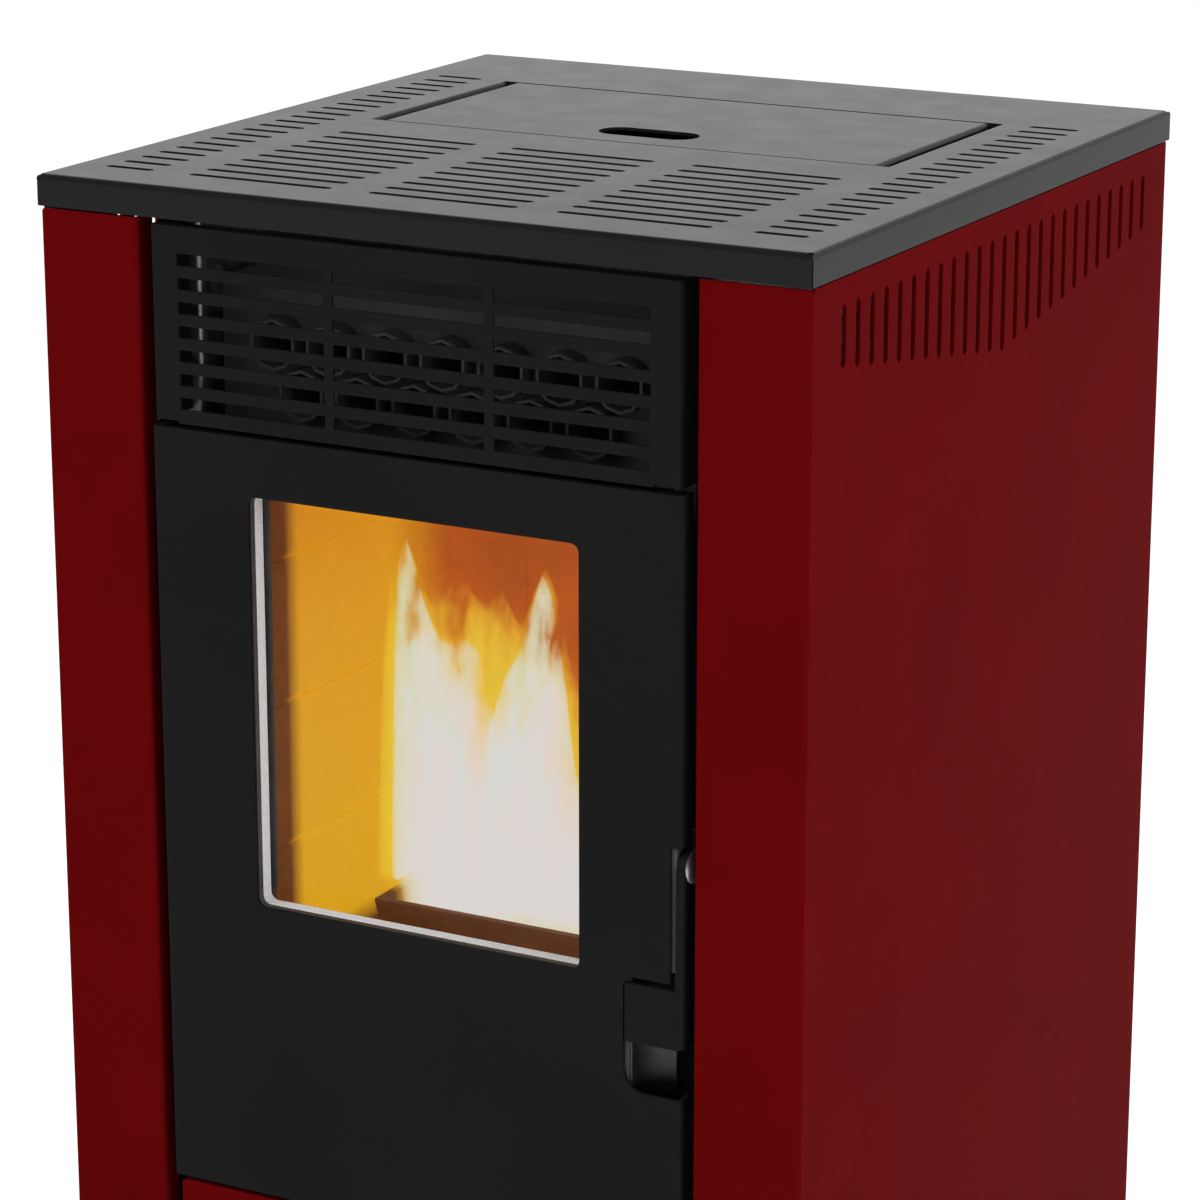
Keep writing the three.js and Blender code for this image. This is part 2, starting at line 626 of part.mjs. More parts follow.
// Shaft along the Z axis with a helical flight that starts at z = from; both share the shaft's corners.
function screwForm(shaft, outer, bottom, top, from, pitch, turns, thickness, steps = 12) {
  const position = [];
  const index = [];
  const total = Math.round(steps * turns);
  const put = (radius, step, z) => {
    const angle = (2 * Math.PI * step) / steps;
    position.push(radius * Math.cos(angle), radius * Math.sin(angle), z);
    return position.length / 3 - 1;
  };
  const face = (...corners) => {
    for (let i = 2; i < corners.length; i += 1) {
      index.push(corners[0], corners[i - 1], corners[i]);
    }
  };
  const low = [];
  const high = [];
  for (let i = 0; i < steps; i += 1) {
    low.push(put(shaft, i, bottom));
    high.push(put(shaft, i, top));
  }
  const rows = [];
  for (let i = 0; i <= total; i += 1) {
    const z = from + (pitch * i) / steps;
    const under = [put(shaft, i, z), put(outer, i, z)];
    const over = [put(outer, i, z + thickness), put(shaft, i, z + thickness)];
    rows.push([...under, ...over]);
  }
  const first = rows[0];
  const last = rows[total];
  const lastTurn = total - steps;
  for (let i = 0; i < total; i += 1) {
    const [root, rim, rimTop, rootTop] = rows[i];
    const [root2, rim2, rimTop2, rootTop2] = rows[i + 1];
    face(root, root2, rim2, rim);
    face(rim, rim2, rimTop2, rimTop);
    face(rimTop, rimTop2, rootTop2, rootTop);
    if (i < lastTurn) {
      face(rootTop, rootTop2, rows[i + 1 + steps][0], rows[i + steps][0]);
    }
  }
  for (let i = 0; i < steps - 1; i += 1) {
    face(low[i], low[i + 1], rows[i + 1][0], rows[i][0]);
  }
  face(low[steps - 1], low[0], first[0], first[3], rows[steps][0], rows[steps - 1][0]);
  for (let i = lastTurn + 1; i < total; i += 1) {
    face(rows[i][3], rows[i + 1][3], high[(i + 1) % steps], high[i % steps]);
  }
  const [left, right] = [high[lastTurn % steps], high[(lastTurn + 1) % steps]];
  face(rows[lastTurn + 1][3], right, left, last[3], last[0], rows[lastTurn][3]);
  face(...first);
  face(...last.slice().reverse());
  face(...low.slice().reverse());
  face(...high);
  const geometry = new THREE.BufferGeometry();
  geometry.setAttribute('position', new THREE.BufferAttribute(new Float32Array(position), 3));
  geometry.setIndex(index);
  return geometry;
}

function mirrored(geometry) {
  const copy = geometry.clone().scale(-1, 1, 1);
  const index = Array.from(copy.index.array);
  for (let i = 0; i < index.length; i += 3) {
    [index[i], index[i + 1]] = [index[i + 1], index[i]];
  }
  copy.setIndex(index);
  return copy;
}

const stove = new THREE.Group();
stove.position.y = -FLUE_PROUD / 2;

function add(name, geometry, material, parent = stove) {
  const mesh = new THREE.Mesh(welded(geometry), material);
  mesh.name = name;
  mesh.geometry.computeVertexNormals();
  parent.add(mesh);
  return mesh;
}

// ---------------------------------------------------------------- top plate
function topSlots() {
  const shapes = [];
  const firstRow = front + SLOT_MARGIN;
  for (let row = 0; row < EDGE_SLOTS; row += 1) {
    const y = firstRow + row * SLOT_PITCH;
    shapes.push(slot(-edgeSlotX, y, EDGE_SLOT_LENGTH, SLOT), slot(edgeSlotX, y, EDGE_SLOT_LENGTH, SLOT));
  }
  for (let row = 0; row < FIELD_SLOTS; row += 1) {
    for (const column of [-1, 0, 1]) {
      shapes.push(slot(column * fieldPitch, firstRow + row * SLOT_PITCH, fieldSlotLength, SLOT));
    }
  }
  return shapes.map((shape) => prism(shape, 'z', under - 1, HEIGHT + 1, SLOT_FACETS));
}

function cornerRelief(signX, signY) {
  const inset = BEND - 0.8;
  const x = signX * (WIDTH / 2 - inset);
  const y = signY * (DEPTH / 2 - inset);
  const hole = rod('z', LIP_RELIEF, [x, y], HEIGHT - BEND - 2, HEIGHT + 1, 10);
  const slit = box(-LIP_SLIT / 2, LIP_SLIT / 2, -2 * BEND, 2 * BEND, HEIGHT - LIP - 1, HEIGHT - BEND);
  slit.rotateZ(signX * signY > 0 ? -Math.PI / 4 : Math.PI / 4).translate(x, y, 0);
  return [hole, slit];
}

function tray(halfX, halfY, z0, z1, radius) {
  const side = (half) => new THREE.Shape()
    .moveTo(-half, z0).lineTo(half, z0).lineTo(half, z1 - radius)
    .absarc(half - radius, z1 - radius, radius, 0, Math.PI / 2)
    .absarc(radius - half, z1 - radius, radius, Math.PI / 2, Math.PI)
    .lineTo(-half, z0);
  return common(prism(side(halfX), 'y', -halfY, halfY), prism(side(halfY), 'x', -halfX, halfX));
}

function makeTopPlate() {
  const shell = cut(
    tray(WIDTH / 2, DEPTH / 2, HEIGHT - LIP, HEIGHT, BEND),
    tray(WIDTH / 2 - SHEET, DEPTH / 2 - SHEET, HEIGHT - LIP - 2 * SHEET, under, BEND - SHEET),
  );
  const relief = 2;
  const wide = openingX + BEND;
  const opening = [
    box(-wide, wide, openingFront + relief, openingBack - relief, under - 1, HEIGHT + 1),
    box(-openingX - relief, openingX + relief, openingFront, openingBack, under - 1, HEIGHT + 1),
  ];
  const reliefs = [-1, 1].flatMap((x) => [-1, 1].flatMap((y) => cornerRelief(x, y)));
  const plate = cut(shell, ...opening, ...reliefs, ...topSlots());
  const fold = folded(
    [[openingX, HEIGHT - OPENING_FLANGE], [openingX, HEIGHT], [wide + SHEET, HEIGHT]].reverse(),
    SHEET,
  );
  const flange = prism(fold, 'y', openingFront + relief, openingBack - relief);
  const pinHole = rod('x', LID_PIN, [lidPinY, lidPinZ], -WIDTH / 2 + 20, WIDTH / 2 - 20, 12);
  return cut(join(plate, flange, mirrored(flange)), pinHole);
}

// ---------------------------------------------------------------- hopper lid
function makeLid() {
  const fold = folded(
    [
      [-lidX, HEIGHT - LID_FLANGE],
      [-lidX, HEIGHT],
      [lidX, HEIGHT],
      [lidX, HEIGHT - LID_FLANGE],
    ].reverse(),
    SHEET,
  );
  const sheet = prism(fold, 'y', LID_FRONT, lidBack);
  const sealTop = hopperTop + THIN_SHEET + SEAT + SEAL_HEIGHT;
  const lip = box(-lidX + 8, lidX - 8, LID_FRONT, LID_FRONT + SHEET, sealTop + SEAT, HEIGHT - SHEET / 2);
  const grip = slot(0, LID_FRONT + GRIP_SLOT_SETBACK, GRIP_SLOT_LENGTH, GRIP_SLOT_WIDTH);
  const pinHole = rod('x', LID_PIN + PIN_PLAY, [lidPinY, lidPinZ], -lidX - 1, lidX + 1, 12);
  return cut(join(sheet, lip), prism(grip, 'z', under - 1, HEIGHT + 1, 5), pinHole);
}

function makeLidPin() {
  const inner = lidX - SHEET - 2;
  const outer = openingX + SHEET + SEAT;
  const shank = rod('x', LID_PIN - 0.05, [lidPinY, lidPinZ], inner, outer + 1, 12);
  const head = rod('x', LID_PIN * 1.8, [lidPinY, lidPinZ - 1], outer, outer + 2, 12);
  return join(shank, common(head, box(outer, outer + 3, lidPinY - 9, lidPinY + 9, lidPinZ - 9, under - SEAT)));
}

add('top_plate', makeTopPlate(), black);
add('hopper_lid', makeLid(), black);
add('lid_pin_right', makeLidPin(), zinc);
add('lid_pin_left', mirrored(makeLidPin()), zinc);

// ---------------------------------------------------------------- side panels
function sideSlots() {
  const middle = (SIDE_SLOTS - 1) / 2;
  const cutters = [];
  for (let i = 0; i < SIDE_SLOTS; i += 1) {
    const share = 1 - Math.abs(i - middle) / middle;
    const length = SIDE_SLOT_SHORT + share * (SIDE_SLOT_LONG - SIDE_SLOT_SHORT);
    const y = (i - middle) * SIDE_SLOT_PITCH;
    const z = HEIGHT - SIDE_SLOT_TOP - length / 2;
    cutters.push(prism(slot(y, z, length, SLOT, true), 'x', panelX - SHEET - 1, panelX + 1, SLOT_FACETS));
  }
  return cutters;
}

function makeSidePanel() {
  const section = folded(
    [
      [flangeX, panelFront + PANEL_RETURN],
      [flangeX, panelFront],
      [panelX, panelFront],
      [panelX, panelBack],
      [panelX - PANEL_RETURN, panelBack],
    ],
    SHEET,
  );
  const corner = cut(
    box(panelX - PANEL_CORNER, panelX + 1, panelFront - 1, panelFront + PANEL_CORNER,
      panelTop - PANEL_CORNER, panelTop + 1),
    rod('y', PANEL_CORNER, [panelX - PANEL_CORNER, panelTop - PANEL_CORNER],
      panelFront - 2, panelFront + 6, 16),
  );
  return cut(prism(section, 'z', PANEL_BOTTOM, panelTop), corner, ...sideSlots());
}

const sidePanel = makeSidePanel();
add('right_side_panel', sidePanel, red);
add('left_side_panel', mirrored(sidePanel), red);

// ---------------------------------------------------------------- grille
function makeGrille() {
  const top = HEIGHT - GRILLE_TOP;
  const bottom = top - GRILLE_HEIGHT;
  const half = flangeX - GRILLE_SIDE_GAP;
  const reach = frameFront - SEAT;
  const section = folded([[-half, reach], [-half, front], [half, front], [half, reach]], SHEET);
  const channel = prism(section, 'z', bottom, top);
  const topFold = box(-half + BEND, half - BEND, front + SHEET / 2, front + GRILLE_TOP_FOLD, top - SHEET, top);
  const inner = half - GRILLE_NOTCH;
  const bottomFold = box(-inner, inner, front + SHEET / 2, front + GRILLE_BOTTOM_FOLD, bottom, bottom + SHEET);
  const notch = (x) => box(x, x + GRILLE_NOTCH - BEND, front - 1, front + SHEET + 1, bottom - 1, bottom + 1.5);
  const slots = [notch(-half + BEND), notch(inner)];
  const slotWidth = (2 * (half - GRILLE_EDGE) - (GRILLE_COLUMNS - 1) * GRILLE_BAR) / GRILLE_COLUMNS;
  for (let column = 0; column < GRILLE_COLUMNS; column += 1) {
    const x = (column - (GRILLE_COLUMNS - 1) / 2) * (slotWidth + GRILLE_BAR);
    for (let row = 0; row < GRILLE_ROWS; row += 1) {
      const z = top - GRILLE_FIRST_ROW - row * GRILLE_ROW_PITCH;
      const [x0, x1] = [x - slotWidth / 2, x + slotWidth / 2];
      slots.push(box(x0, x1, front - 1, front + SHEET + 1, z - GRILLE_SLOT_HEIGHT, z));
    }
  }
  return cut(join(channel, topFold, bottomFold), ...slots);
}

add('grille_panel', makeGrille(), black);

// ---------------------------------------------------------------- lower front panel
function makeLowerPanel() {
  const half = flangeX - LOWER_PANEL_SIDE_GAP;
  const reach = trayFront - SEAT;
  const section = folded([[-half, reach], [-half, panelFront], [half, panelFront], [half, reach]], SHEET);
  const channel = prism(section, 'z', PANEL_BOTTOM, lowerPanelTop);
  const topFold = box(-half + BEND, half - BEND, panelFront + SHEET / 2, panelFront + PANEL_RETURN,
    lowerPanelTop - SHEET, lowerPanelTop);
  const outline = rectangle(-half, half, PANEL_BOTTOM, lowerPanelTop, LOWER_PANEL_CORNER);
  return common(join(channel, topFold), prism(outline, 'y', front - 1, reach + 1));
}

add('lower_front_panel', makeLowerPanel(), red);

// ---------------------------------------------------------------- door
const ropeOutline = (offset) => {
  const half = ropeX + offset;
  return rectangle(-half, half, ropeBottom - offset, ropeTop + offset, ROPE_CORNER + offset);
};

function windowShape(margin) {
  const half = windowX + margin;
  return rectangle(-half, half, windowBottom - margin, windowTop + margin, WINDOW_CORNER + margin / 2);
}

function notchShape() {
  const top = HEIGHT - NOTCH_TOP;
  const bottom = HEIGHT - NOTCH_BOTTOM;
  const left = doorX - NOTCH_DEPTH;
  const right = doorX + 5;
  const shape = new THREE.Shape();
  shape.moveTo(right, bottom).lineTo(right, top).lineTo(left + NOTCH_TOP_RADIUS, top);
  shape.absarc(left + NOTCH_TOP_RADIUS, top - NOTCH_TOP_RADIUS, NOTCH_TOP_RADIUS, Math.PI / 2, Math.PI);
  shape.absarc(left + NOTCH_BOTTOM_RADIUS, bottom + NOTCH_BOTTOM_RADIUS, NOTCH_BOTTOM_RADIUS,
    Math.PI, 1.5 * Math.PI);
  return shape.closePath();
}

function hingeHeights() {
  return [HEIGHT - HINGE_UPPER, doorBottom + HINGE_LOWER];
}

function makeDoorPanel() {
  const section = folded(
    [[-doorX, front + DOOR_FOLD], [-doorX, front], [doorX, front], [doorX, front + DOOR_FOLD]],
    DOOR_SHEET,
  );
  const channel = prism(section, 'z', doorBottom, doorTop);
  const innerX = doorX - BEND;
  const folds = [doorBottom, doorTop - DOOR_SHEET].map((z) => (
    box(-innerX, innerX, front + DOOR_SHEET / 2, front + DOOR_FOLD, z, z + DOOR_SHEET)
  ));
  const armSlot = box(doorX - ARM_SLOT_WIDTH, doorX + 1, front - 1, front + DOOR_FOLD + 1,
    HEIGHT - NOTCH_TOP - 1, HEIGHT - ARM_TOP + 3);
  const hingeGaps = hingeHeights().map((z) => (
    box(-doorX - 1, -doorX + DOOR_SHEET + 0.5, front + DOOR_SHEET + 0.5, front + DOOR_FOLD + 1,
      z - KNUCKLE_HEIGHT, z + KNUCKLE_HEIGHT)
  ));
  return cut(
    join(channel, ...folds),
    prism(windowShape(0), 'y', front - 1, front + DOOR_SHEET + 1),
    prism(notchShape(), 'y', front - 1, front + DOOR_FOLD + 1, 6),
    armSlot,
    ...hingeGaps,
  );
}

// Steel frame behind the door's sheet: plate, rope channel and hinge knuckles.
function makeDoorFrame() {
  const outer = channelHalf + CHANNEL_WALL;
  const block = prism(ropeOutline(outer), 'y', framePlateFront, channelBack);
  const hollow = prism(ropeOutline(-outer), 'y', framePlateBack, channelBack + 1);
  const groove = cut(
    prism(ropeOutline(channelHalf), 'y', channelBack - ROPE * 0.6, channelBack + 1),
    prism(ropeOutline(-channelHalf), 'y', channelBack - ROPE, channelBack + 2),
  );
  const opening = prism(windowShape(0), 'y', framePlateFront - 1, framePlateBack + 1);
  const knuckles = hingeHeights().flatMap((z) => {
    const bottom = z - KNUCKLE_HEIGHT / 2;
    const top = z + KNUCKLE_HEIGHT / 2;
    return [
      rod('z', KNUCKLE_RADIUS, [hingeX, hingeY], bottom, top, 12),
      box(hingeX, -ropeX - outer + 1, framePlateFront, framePlateBack, bottom, top),
    ];
  });
  const bores = hingeHeights().map((z) => (
    rod('z', HINGE_PIN + PIN_PLAY, [hingeX, hingeY], z - KNUCKLE_HEIGHT, z + KNUCKLE_HEIGHT, 12)
  ));
  const armBlock = box(ropeX + outer - 1, armX0 - SEAT, framePlateFront, framePlateBack,
    HEIGHT - NOTCH_TOP + 6, HEIGHT - ARM_TOP + 12);
  const armLug = box(armX0 - SEAT - 5, armX0 - SEAT, framePlateFront, pivotY + PIVOT_BOSS,
    pivotZ - PIVOT_BOSS, pivotZ + PIVOT_BOSS);
  const pinBore = rod('x', PIVOT_PIN, [pivotY, pivotZ], armX0 - 12, armX0, 16);
  return cut(join(block, ...knuckles, armBlock, armLug), hollow, groove, opening, ...bores, pinBore);
}

function makeGlassSeal() {
  const y = framePlateBack + SEAT;
  return cut(
    prism(windowShape(GLASS_SEAL_LAP), 'y', y, y + GLASS_SEAL),
    prism(windowShape(0), 'y', y - 1, y + GLASS_SEAL + 1),
  );
}

function makeRetainer() {
  const outer = ropeX - channelHalf - CHANNEL_WALL - SEAT;
  const y = glassBack + SEAT;
  const section = folded(
    [[outer, channelBack], [outer, y], [outer - RETAINER_WIDTH, y]].reverse(),
    SHEET,
  );
  return prism(section, 'z', windowBottom + 6, windowTop - 6);
}

function makeHeatShield() {
  const half = ropeX - channelHalf - CHANNEL_WALL - 4;
  const y = framePlateBack + SHIELD_STANDOFF;
  const bottom = ropeBottom + 14;
  const top = windowBottom - GLASS_OVERLAP - 16;
  const sheet = prism(rectangle(-half, half, bottom, top, 6), 'y', y, y + SHIELD_THICKNESS);
  const posts = [-1, 1].flatMap((side) => [bottom + 14, top - 14].map((z) => (
    rod('y', 5, [side * (half - 14), z], framePlateBack + SEAT, y + 0.5, 12)
  )));
  return join(sheet, ...posts);
}

add('door_panel', makeDoorPanel(), black);
add('door_frame', makeDoorFrame(), rawSteel);
add('glass_seal', makeGlassSeal(), whiteFibre);
add('door_glass', prism(windowShape(GLASS_OVERLAP - 1), 'y', glassFront, glassBack), ceramicGlass);
const retainer = makeRetainer();
add('glass_retainer_right', retainer, rawSteel);
add('glass_retainer_left', mirrored(retainer), rawSteel);
const ropeY = channelBack + ROPE * 0.5 - ROPE * 0.6 + SEAT;
add('door_rope_seal', ringTube(ropeOutline(0).extractPoints(2).shape.slice(0, -1), ropeY, ROPE / 2), greyRope);
add('door_heat_shield', makeHeatShield(), rawSteel);

// ---------------------------------------------------------------- door handle
function makeHandle() {
  const gripBottom = HEIGHT - GRIP_TOP - GRIP_HEIGHT;
  const gripTop = HEIGHT - GRIP_TOP;
  const armBack = front + ARM_DEPTH;
  const arm = new THREE.Shape();
  arm.moveTo(front + 1, gripBottom + 1).lineTo(armBack - 4, gripBottom + 1).lineTo(armBack, gripBottom + 14);
  arm.lineTo(armBack, pivotZ).absarc(pivotY, pivotZ, PIVOT_BOSS, 0, Math.PI).lineTo(front + 1, pivotZ);
  const blade = prism(arm, 'x', armX0, armX1, 8);
  const gripSection = folded(
    [[armX1 - GRIP_WIDTH, front], [armX1, front], [armX1, armBack - 5]],
    GRIP_THICKNESS,
    GRIP_BEND,
    5,
  );
  const grip = prism(gripSection, 'z', gripBottom, gripTop);
  const nose = new THREE.Shape();
  nose.moveTo(pivotY, pivotZ - 8).lineTo(pivotY + HOOK_REACH - 3, pivotZ - 8);
  nose.lineTo(pivotY + HOOK_REACH, pivotZ - 5).lineTo(pivotY + HOOK_REACH, pivotZ + 0.2);
  nose.lineTo(pivotY + HOOK_REACH - 3.4, pivotZ + 0.2).lineTo(pivotY + CATCH_STUD_BACK, pivotZ - 0.6);
  nose.lineTo(pivotY + 8, pivotZ - 1).lineTo(pivotY, pivotZ + 2);
  const hook = prism(nose, 'x', armX0, armX1);
  const bore = rod('x', PIVOT_PIN + PIN_PLAY, [pivotY, pivotZ], armX0 - 1, armX1 + 1, 16);
  return cut(join(blade, grip, hook), bore);
}

function makePivotPin() {
  const x = armX1 + SEAT;
  const head = new THREE.LatheGeometry(
    [
      new THREE.Vector2(0, 0),
      new THREE.Vector2(PIVOT_HEAD, 0),
      new THREE.Vector2(PIVOT_HEAD, PIVOT_HEAD_LENGTH * 0.5),
      new THREE.Vector2(PIVOT_HEAD * 0.85, PIVOT_HEAD_LENGTH * 0.85),
      new THREE.Vector2(PIVOT_HEAD * 0.45, PIVOT_HEAD_LENGTH),
      new THREE.Vector2(0, PIVOT_HEAD_LENGTH),
    ],
    16,
  );
  head.rotateZ(-Math.PI / 2).translate(x, pivotY, pivotZ);
  return join(head, rod('x', PIVOT_PIN - 0.05, [pivotY, pivotZ], armX0 - SEAT - 5, x + 0.5, 16));
}

function makeFingerCup() {
  const x0 = ropeX + channelHalf + CHANNEL_WALL + SEAT;
  const y0 = doorBack + SEAT;
  const points = [];
  for (let i = 0; i <= 6; i += 1) {
    const angle = (Math.PI / 2) * (i / 6);
    points.push([x0 + THIN_SHEET + CUP_RADIUS * (1 - Math.cos(angle)), y0 + CUP_RADIUS * Math.sin(angle)]);
  }
  const bottom = HEIGHT - NOTCH_BOTTOM - 4;
  const top = HEIGHT - NOTCH_TOP - 2;
  return prism(strip(points, THIN_SHEET), 'z', bottom, top);
}

add('door_handle', makeHandle(), black);
add('handle_pivot_pin', makePivotPin(), zinc);
add('finger_cup', makeFingerCup(), galvanised);

// ---------------------------------------------------------------- door hinges and catch
// Bracket on the frame's flange with an upright pin, placed at each hinge height.
function makeHingeBracket() {
  const z0 = -KNUCKLE_HEIGHT / 2 - SEAT - HINGE_PLATE;
  const half = HINGE_PLATE_WIDTH / 2;
  const arm = box(hingeX - half, hingeX + half, hingeY, frameFront - SEAT, z0, z0 + HINGE_PLATE);
  const nose = rod('z', half, [hingeX, hingeY], z0, z0 + HINGE_PLATE, 12);
  const foot = box(hingeX - 12, hingeX - 3, frameFront - SEAT - 3, frameFront - SEAT, z0 - 10, z0 + 18);
  const pin = rod('z', HINGE_PIN, [hingeX, hingeY], z0 + 1, KNUCKLE_HEIGHT / 2 + 2, 12);
  return join(arm, nose, foot, pin);
}

// Bracket on the frame's flange with the stud that the handle's hook pulls on.
function makeCatch() {
  const z = pivotZ + CATCH_STUD_RISE;
  const y = pivotY + CATCH_STUD_BACK;
  const x0 = armX0 - 4.5;
  const foot = box(x0, x0 + 12, frameFront - SEAT - 2, frameFront - SEAT, z + 7, z + 30);
  const cheek = box(x0, x0 + 2.5, y - CATCH_STUD - 1, frameFront - SEAT, z - CATCH_STUD - 1, z + 12);
  const stud = rod('x', CATCH_STUD, [y, z], x0 + 1, armX1 - 0.5, 12);
  return join(foot, cheek, stud);
}

const [upperHinge, lowerHinge] = hingeHeights();
add('hinge_bracket_upper', makeHingeBracket(), rawSteel).position.z = upperHinge;
add('hinge_bracket_lower', makeHingeBracket(), rawSteel).position.z = lowerHinge;
add('door_catch', makeCatch(), zinc);

// ---------------------------------------------------------------- inner frame
function makeFrameSide() {
  const section = folded(
    [
      [frameX + FRAME_FLANGE, frameFront],
      [frameX, frameFront],
      [frameX, frameBack],
      [frameX + FRAME_FLANGE, frameBack],
    ].reverse(),
    THIN_SHEET,
  );
  const post = prism(section, 'z', trayTop + SEAT, frameTop);
  const seatFront = HOPPER_FRONT - HOPPER_FLANGE - 2;
  const seatBack = HOPPER_BACK + HOPPER_FLANGE + 2;
  const topX = [frameX + THIN_SHEET / 2, frameX + FRAME_FLANGE];
  const flanges = [
    box(...topX, frameFront + BEND, seatFront - 2, frameTop - THIN_SHEET, frameTop),
    box(...topX, seatBack + 2, frameBack - BEND, frameTop - THIN_SHEET, frameTop),
    box(...topX, frameFront + BEND, frameBack - BEND, trayTop + SEAT, trayTop + SEAT + THIN_SHEET),
  ];
  const hopperSeat = box(frameX - 1, frameX + 3, seatFront, seatBack, hopperTop - SEAT, frameTop + 1);
  const windows = FRAME_WINDOWS.map(([y, z]) => (
    box(frameX - 1, frameX + 3, y, y + FRAME_WINDOW, z, z + FRAME_WINDOW)
  ));
  return cut(join(post, ...flanges), hopperSeat, ...windows);
}

const frameSide = makeFrameSide();
add('right_frame_side', frameSide, galvanised);
add('left_frame_side', mirrored(frameSide), galvanised);

function makeBaseTray() {
  const shell = cut(
    box(-trayX, trayX, trayFront, trayBack, TRAY_BOTTOM, TRAY_BOTTOM + TRAY_LIP),
    box(-trayX + SHEET, trayX - SHEET, trayFront + SHEET, trayBack - SHEET,
      trayTop, TRAY_BOTTOM + TRAY_LIP + 1),
  );
  const holes = [-1, 1].flatMap((x) => [-1, 1].map((y) => (
    rod('z', FOOT_STUD + PIN_PLAY, [x * footX, y * footY], TRAY_BOTTOM - 1, trayTop + 1, 12)
  )));
  const intake = [-70, 0, 70].map((x) => (
    prism(slot(x, FAN_Y - 70, 50, 10), 'z', TRAY_BOTTOM - 1, trayTop + 1)
  ));
  return cut(shell, ...holes, ...intake);
}

function makeFoot() {
  const shoulder = TRAY_BOTTOM - SEAT;
  const profile = [
    [0, 0],
    [FOOT_RADIUS - 1.5, 0],
    [FOOT_RADIUS, 2],
    [FOOT_RADIUS, FOOT_PAD - 6],
    [FOOT_RADIUS - 6, FOOT_PAD],
    [FOOT_NUT, FOOT_PAD],
    [FOOT_NUT, shoulder],
    [FOOT_STUD, shoulder],
    [FOOT_STUD, FOOT_STUD_TOP],
    [0, FOOT_STUD_TOP],
  ];
  const foot = new THREE.LatheGeometry(profile.map(([r, z]) => new THREE.Vector2(r, z)), 10);
  return foot.rotateX(Math.PI / 2);
}

add('base_tray', makeBaseTray(), black);
const footPlaces = [['front_left', -1, -1], ['front_right', 1, -1], ['back_left', -1, 1], ['back_right', 1, 1]];
for (const [name, x, y] of footPlaces) {
  add(`foot_${name}`, makeFoot(), rubber).position.set(x * footX, y * footY, 0);
}

// ---------------------------------------------------------------- firebox
function tubeCentres() {
  const rows = [[tubesUpper, TUBE_ROW_DROP], [tubesUpper - 1, TUBE_ROW_DROP + TUBE_ROW_PITCH]];
  return rows.flatMap(([count, drop]) => Array.from({ length: count }, (_, i) => (
    [(i - (count - 1) / 2) * TUBE_PITCH, HEIGHT - drop]
  )));
}

// Places a piece built round the auger's own axis: local Z runs up the auger.
function alongAuger(geometry) {
  return geometry.rotateX(Math.PI / 2 - augerTilt).translate(0, AUGER_Y, augerZ);
}

// Square duct that leaves the auger at right angles; margin widens it all round.
function chute(margin, from, to) {
  const x = CHUTE_X + margin;
  const z = CHUTE_HALF + margin;
  return alongAuger(box(-x, x, -to, -from, CHUTE_AT - z, CHUTE_AT + z));
}

const doorwayTop = ropeTop - DOORWAY_LAP;
const doorwayBottom = ropeBottom + DOORWAY_LAP;
const igniterZ = potRim - 26;
const smokeHole = [smokeX + 2, smokeX + SMOKE_WIDTH - 2, smokeTop - 52, smokeTop - 4];

function makeFirebox() {
  const [tubeFront, tubeBack] = [boxFront - TUBE_PROUD, boxBack];
  const shell = box(-boxX, boxX, boxFront, boxBack, boxBottom, boxTop);
  const inner = boxX - BOX_WALL;
  const hollow = box(-inner, inner, boxFront + BOX_WALL, boxBack - BOX_WALL,
    boxBottom + BOX_WALL, boxTop - BOX_WALL);
  const doorway = prism(rectangle(-doorwayX, doorwayX, doorwayBottom, doorwayTop, ROPE_CORNER - 2),
    'y', boxFront - 30, boxFront + BOX_WALL + 1);
  const collarEnd = ropeY + ROPE / 2 + SEAT;
  const collar = prism(rectangle(-doorwayX - 3, doorwayX + 3, doorwayBottom - 3, doorwayTop + 3, ROPE_CORNER),
    'y', collarEnd, boxFront + 1);
  const tubes = tubeCentres().map((centre) => rod('y', TUBE, centre, tubeFront, tubeBack, TUBE_SIDES));
  const bores = tubeCentres().map((centre) => (
    rod('y', TUBE - TUBE_WALL, centre, tubeFront - 1, tubeBack + 1, TUBE_SIDES)
  ));
  const nozzle = chute(0, CHUTE_STUB + SEAT, CHUTE_REACH);
  const [sx0, sx1, sz0, sz1] = smokeHole;
  const smoke = box(sx0, sx1, boxBack - BOX_WALL - 1, boxBack + 1, sz0, sz1);
  const air = rod('y', INLET + SEAT + 0.5, [inletX, inletZ], boxBack - BOX_WALL - 1, boxBack + 1, 20);
  const casing = cut(join(shell, collar), hollow, doorway);
  const igniter = rod('y', IGNITER + 1, [0, igniterZ], boxBack - BOX_WALL - 1, boxBack + 1, 12);
  const inside = chute(-CHUTE_WALL, 0, CHUTE_REACH + 1);
  return cut(join(casing, nozzle, ...tubes), inside, smoke, air, igniter, ...bores);
}

function linerWith(piece) {
  return cut(piece, chute(SEAT, 0, CHUTE_REACH + 10));
}

const linerBottom = shelfTop + SEAT;
const linerTop = HEIGHT - BAFFLE_DROP - SEAT;
const linerBack = boxBack - BOX_WALL - SEAT;
const innerX = boxX - BOX_WALL;

function makeSideLiner() {
  const panel = box(innerX - SEAT - LINER, innerX - SEAT, boxFront + BOX_WALL + SEAT, linerBack - LINER - SEAT,
    linerBottom, linerTop);
  const grooves = [1, 2, 3].map((i) => {
    const z = linerBottom + (i * (linerTop - linerBottom)) / 4;
    return box(innerX - SEAT - LINER - 1, innerX - SEAT - LINER + 2, boxFront, linerBack, z - 1.5, z + 1.5);
  });
  return cut(panel, ...grooves);
}

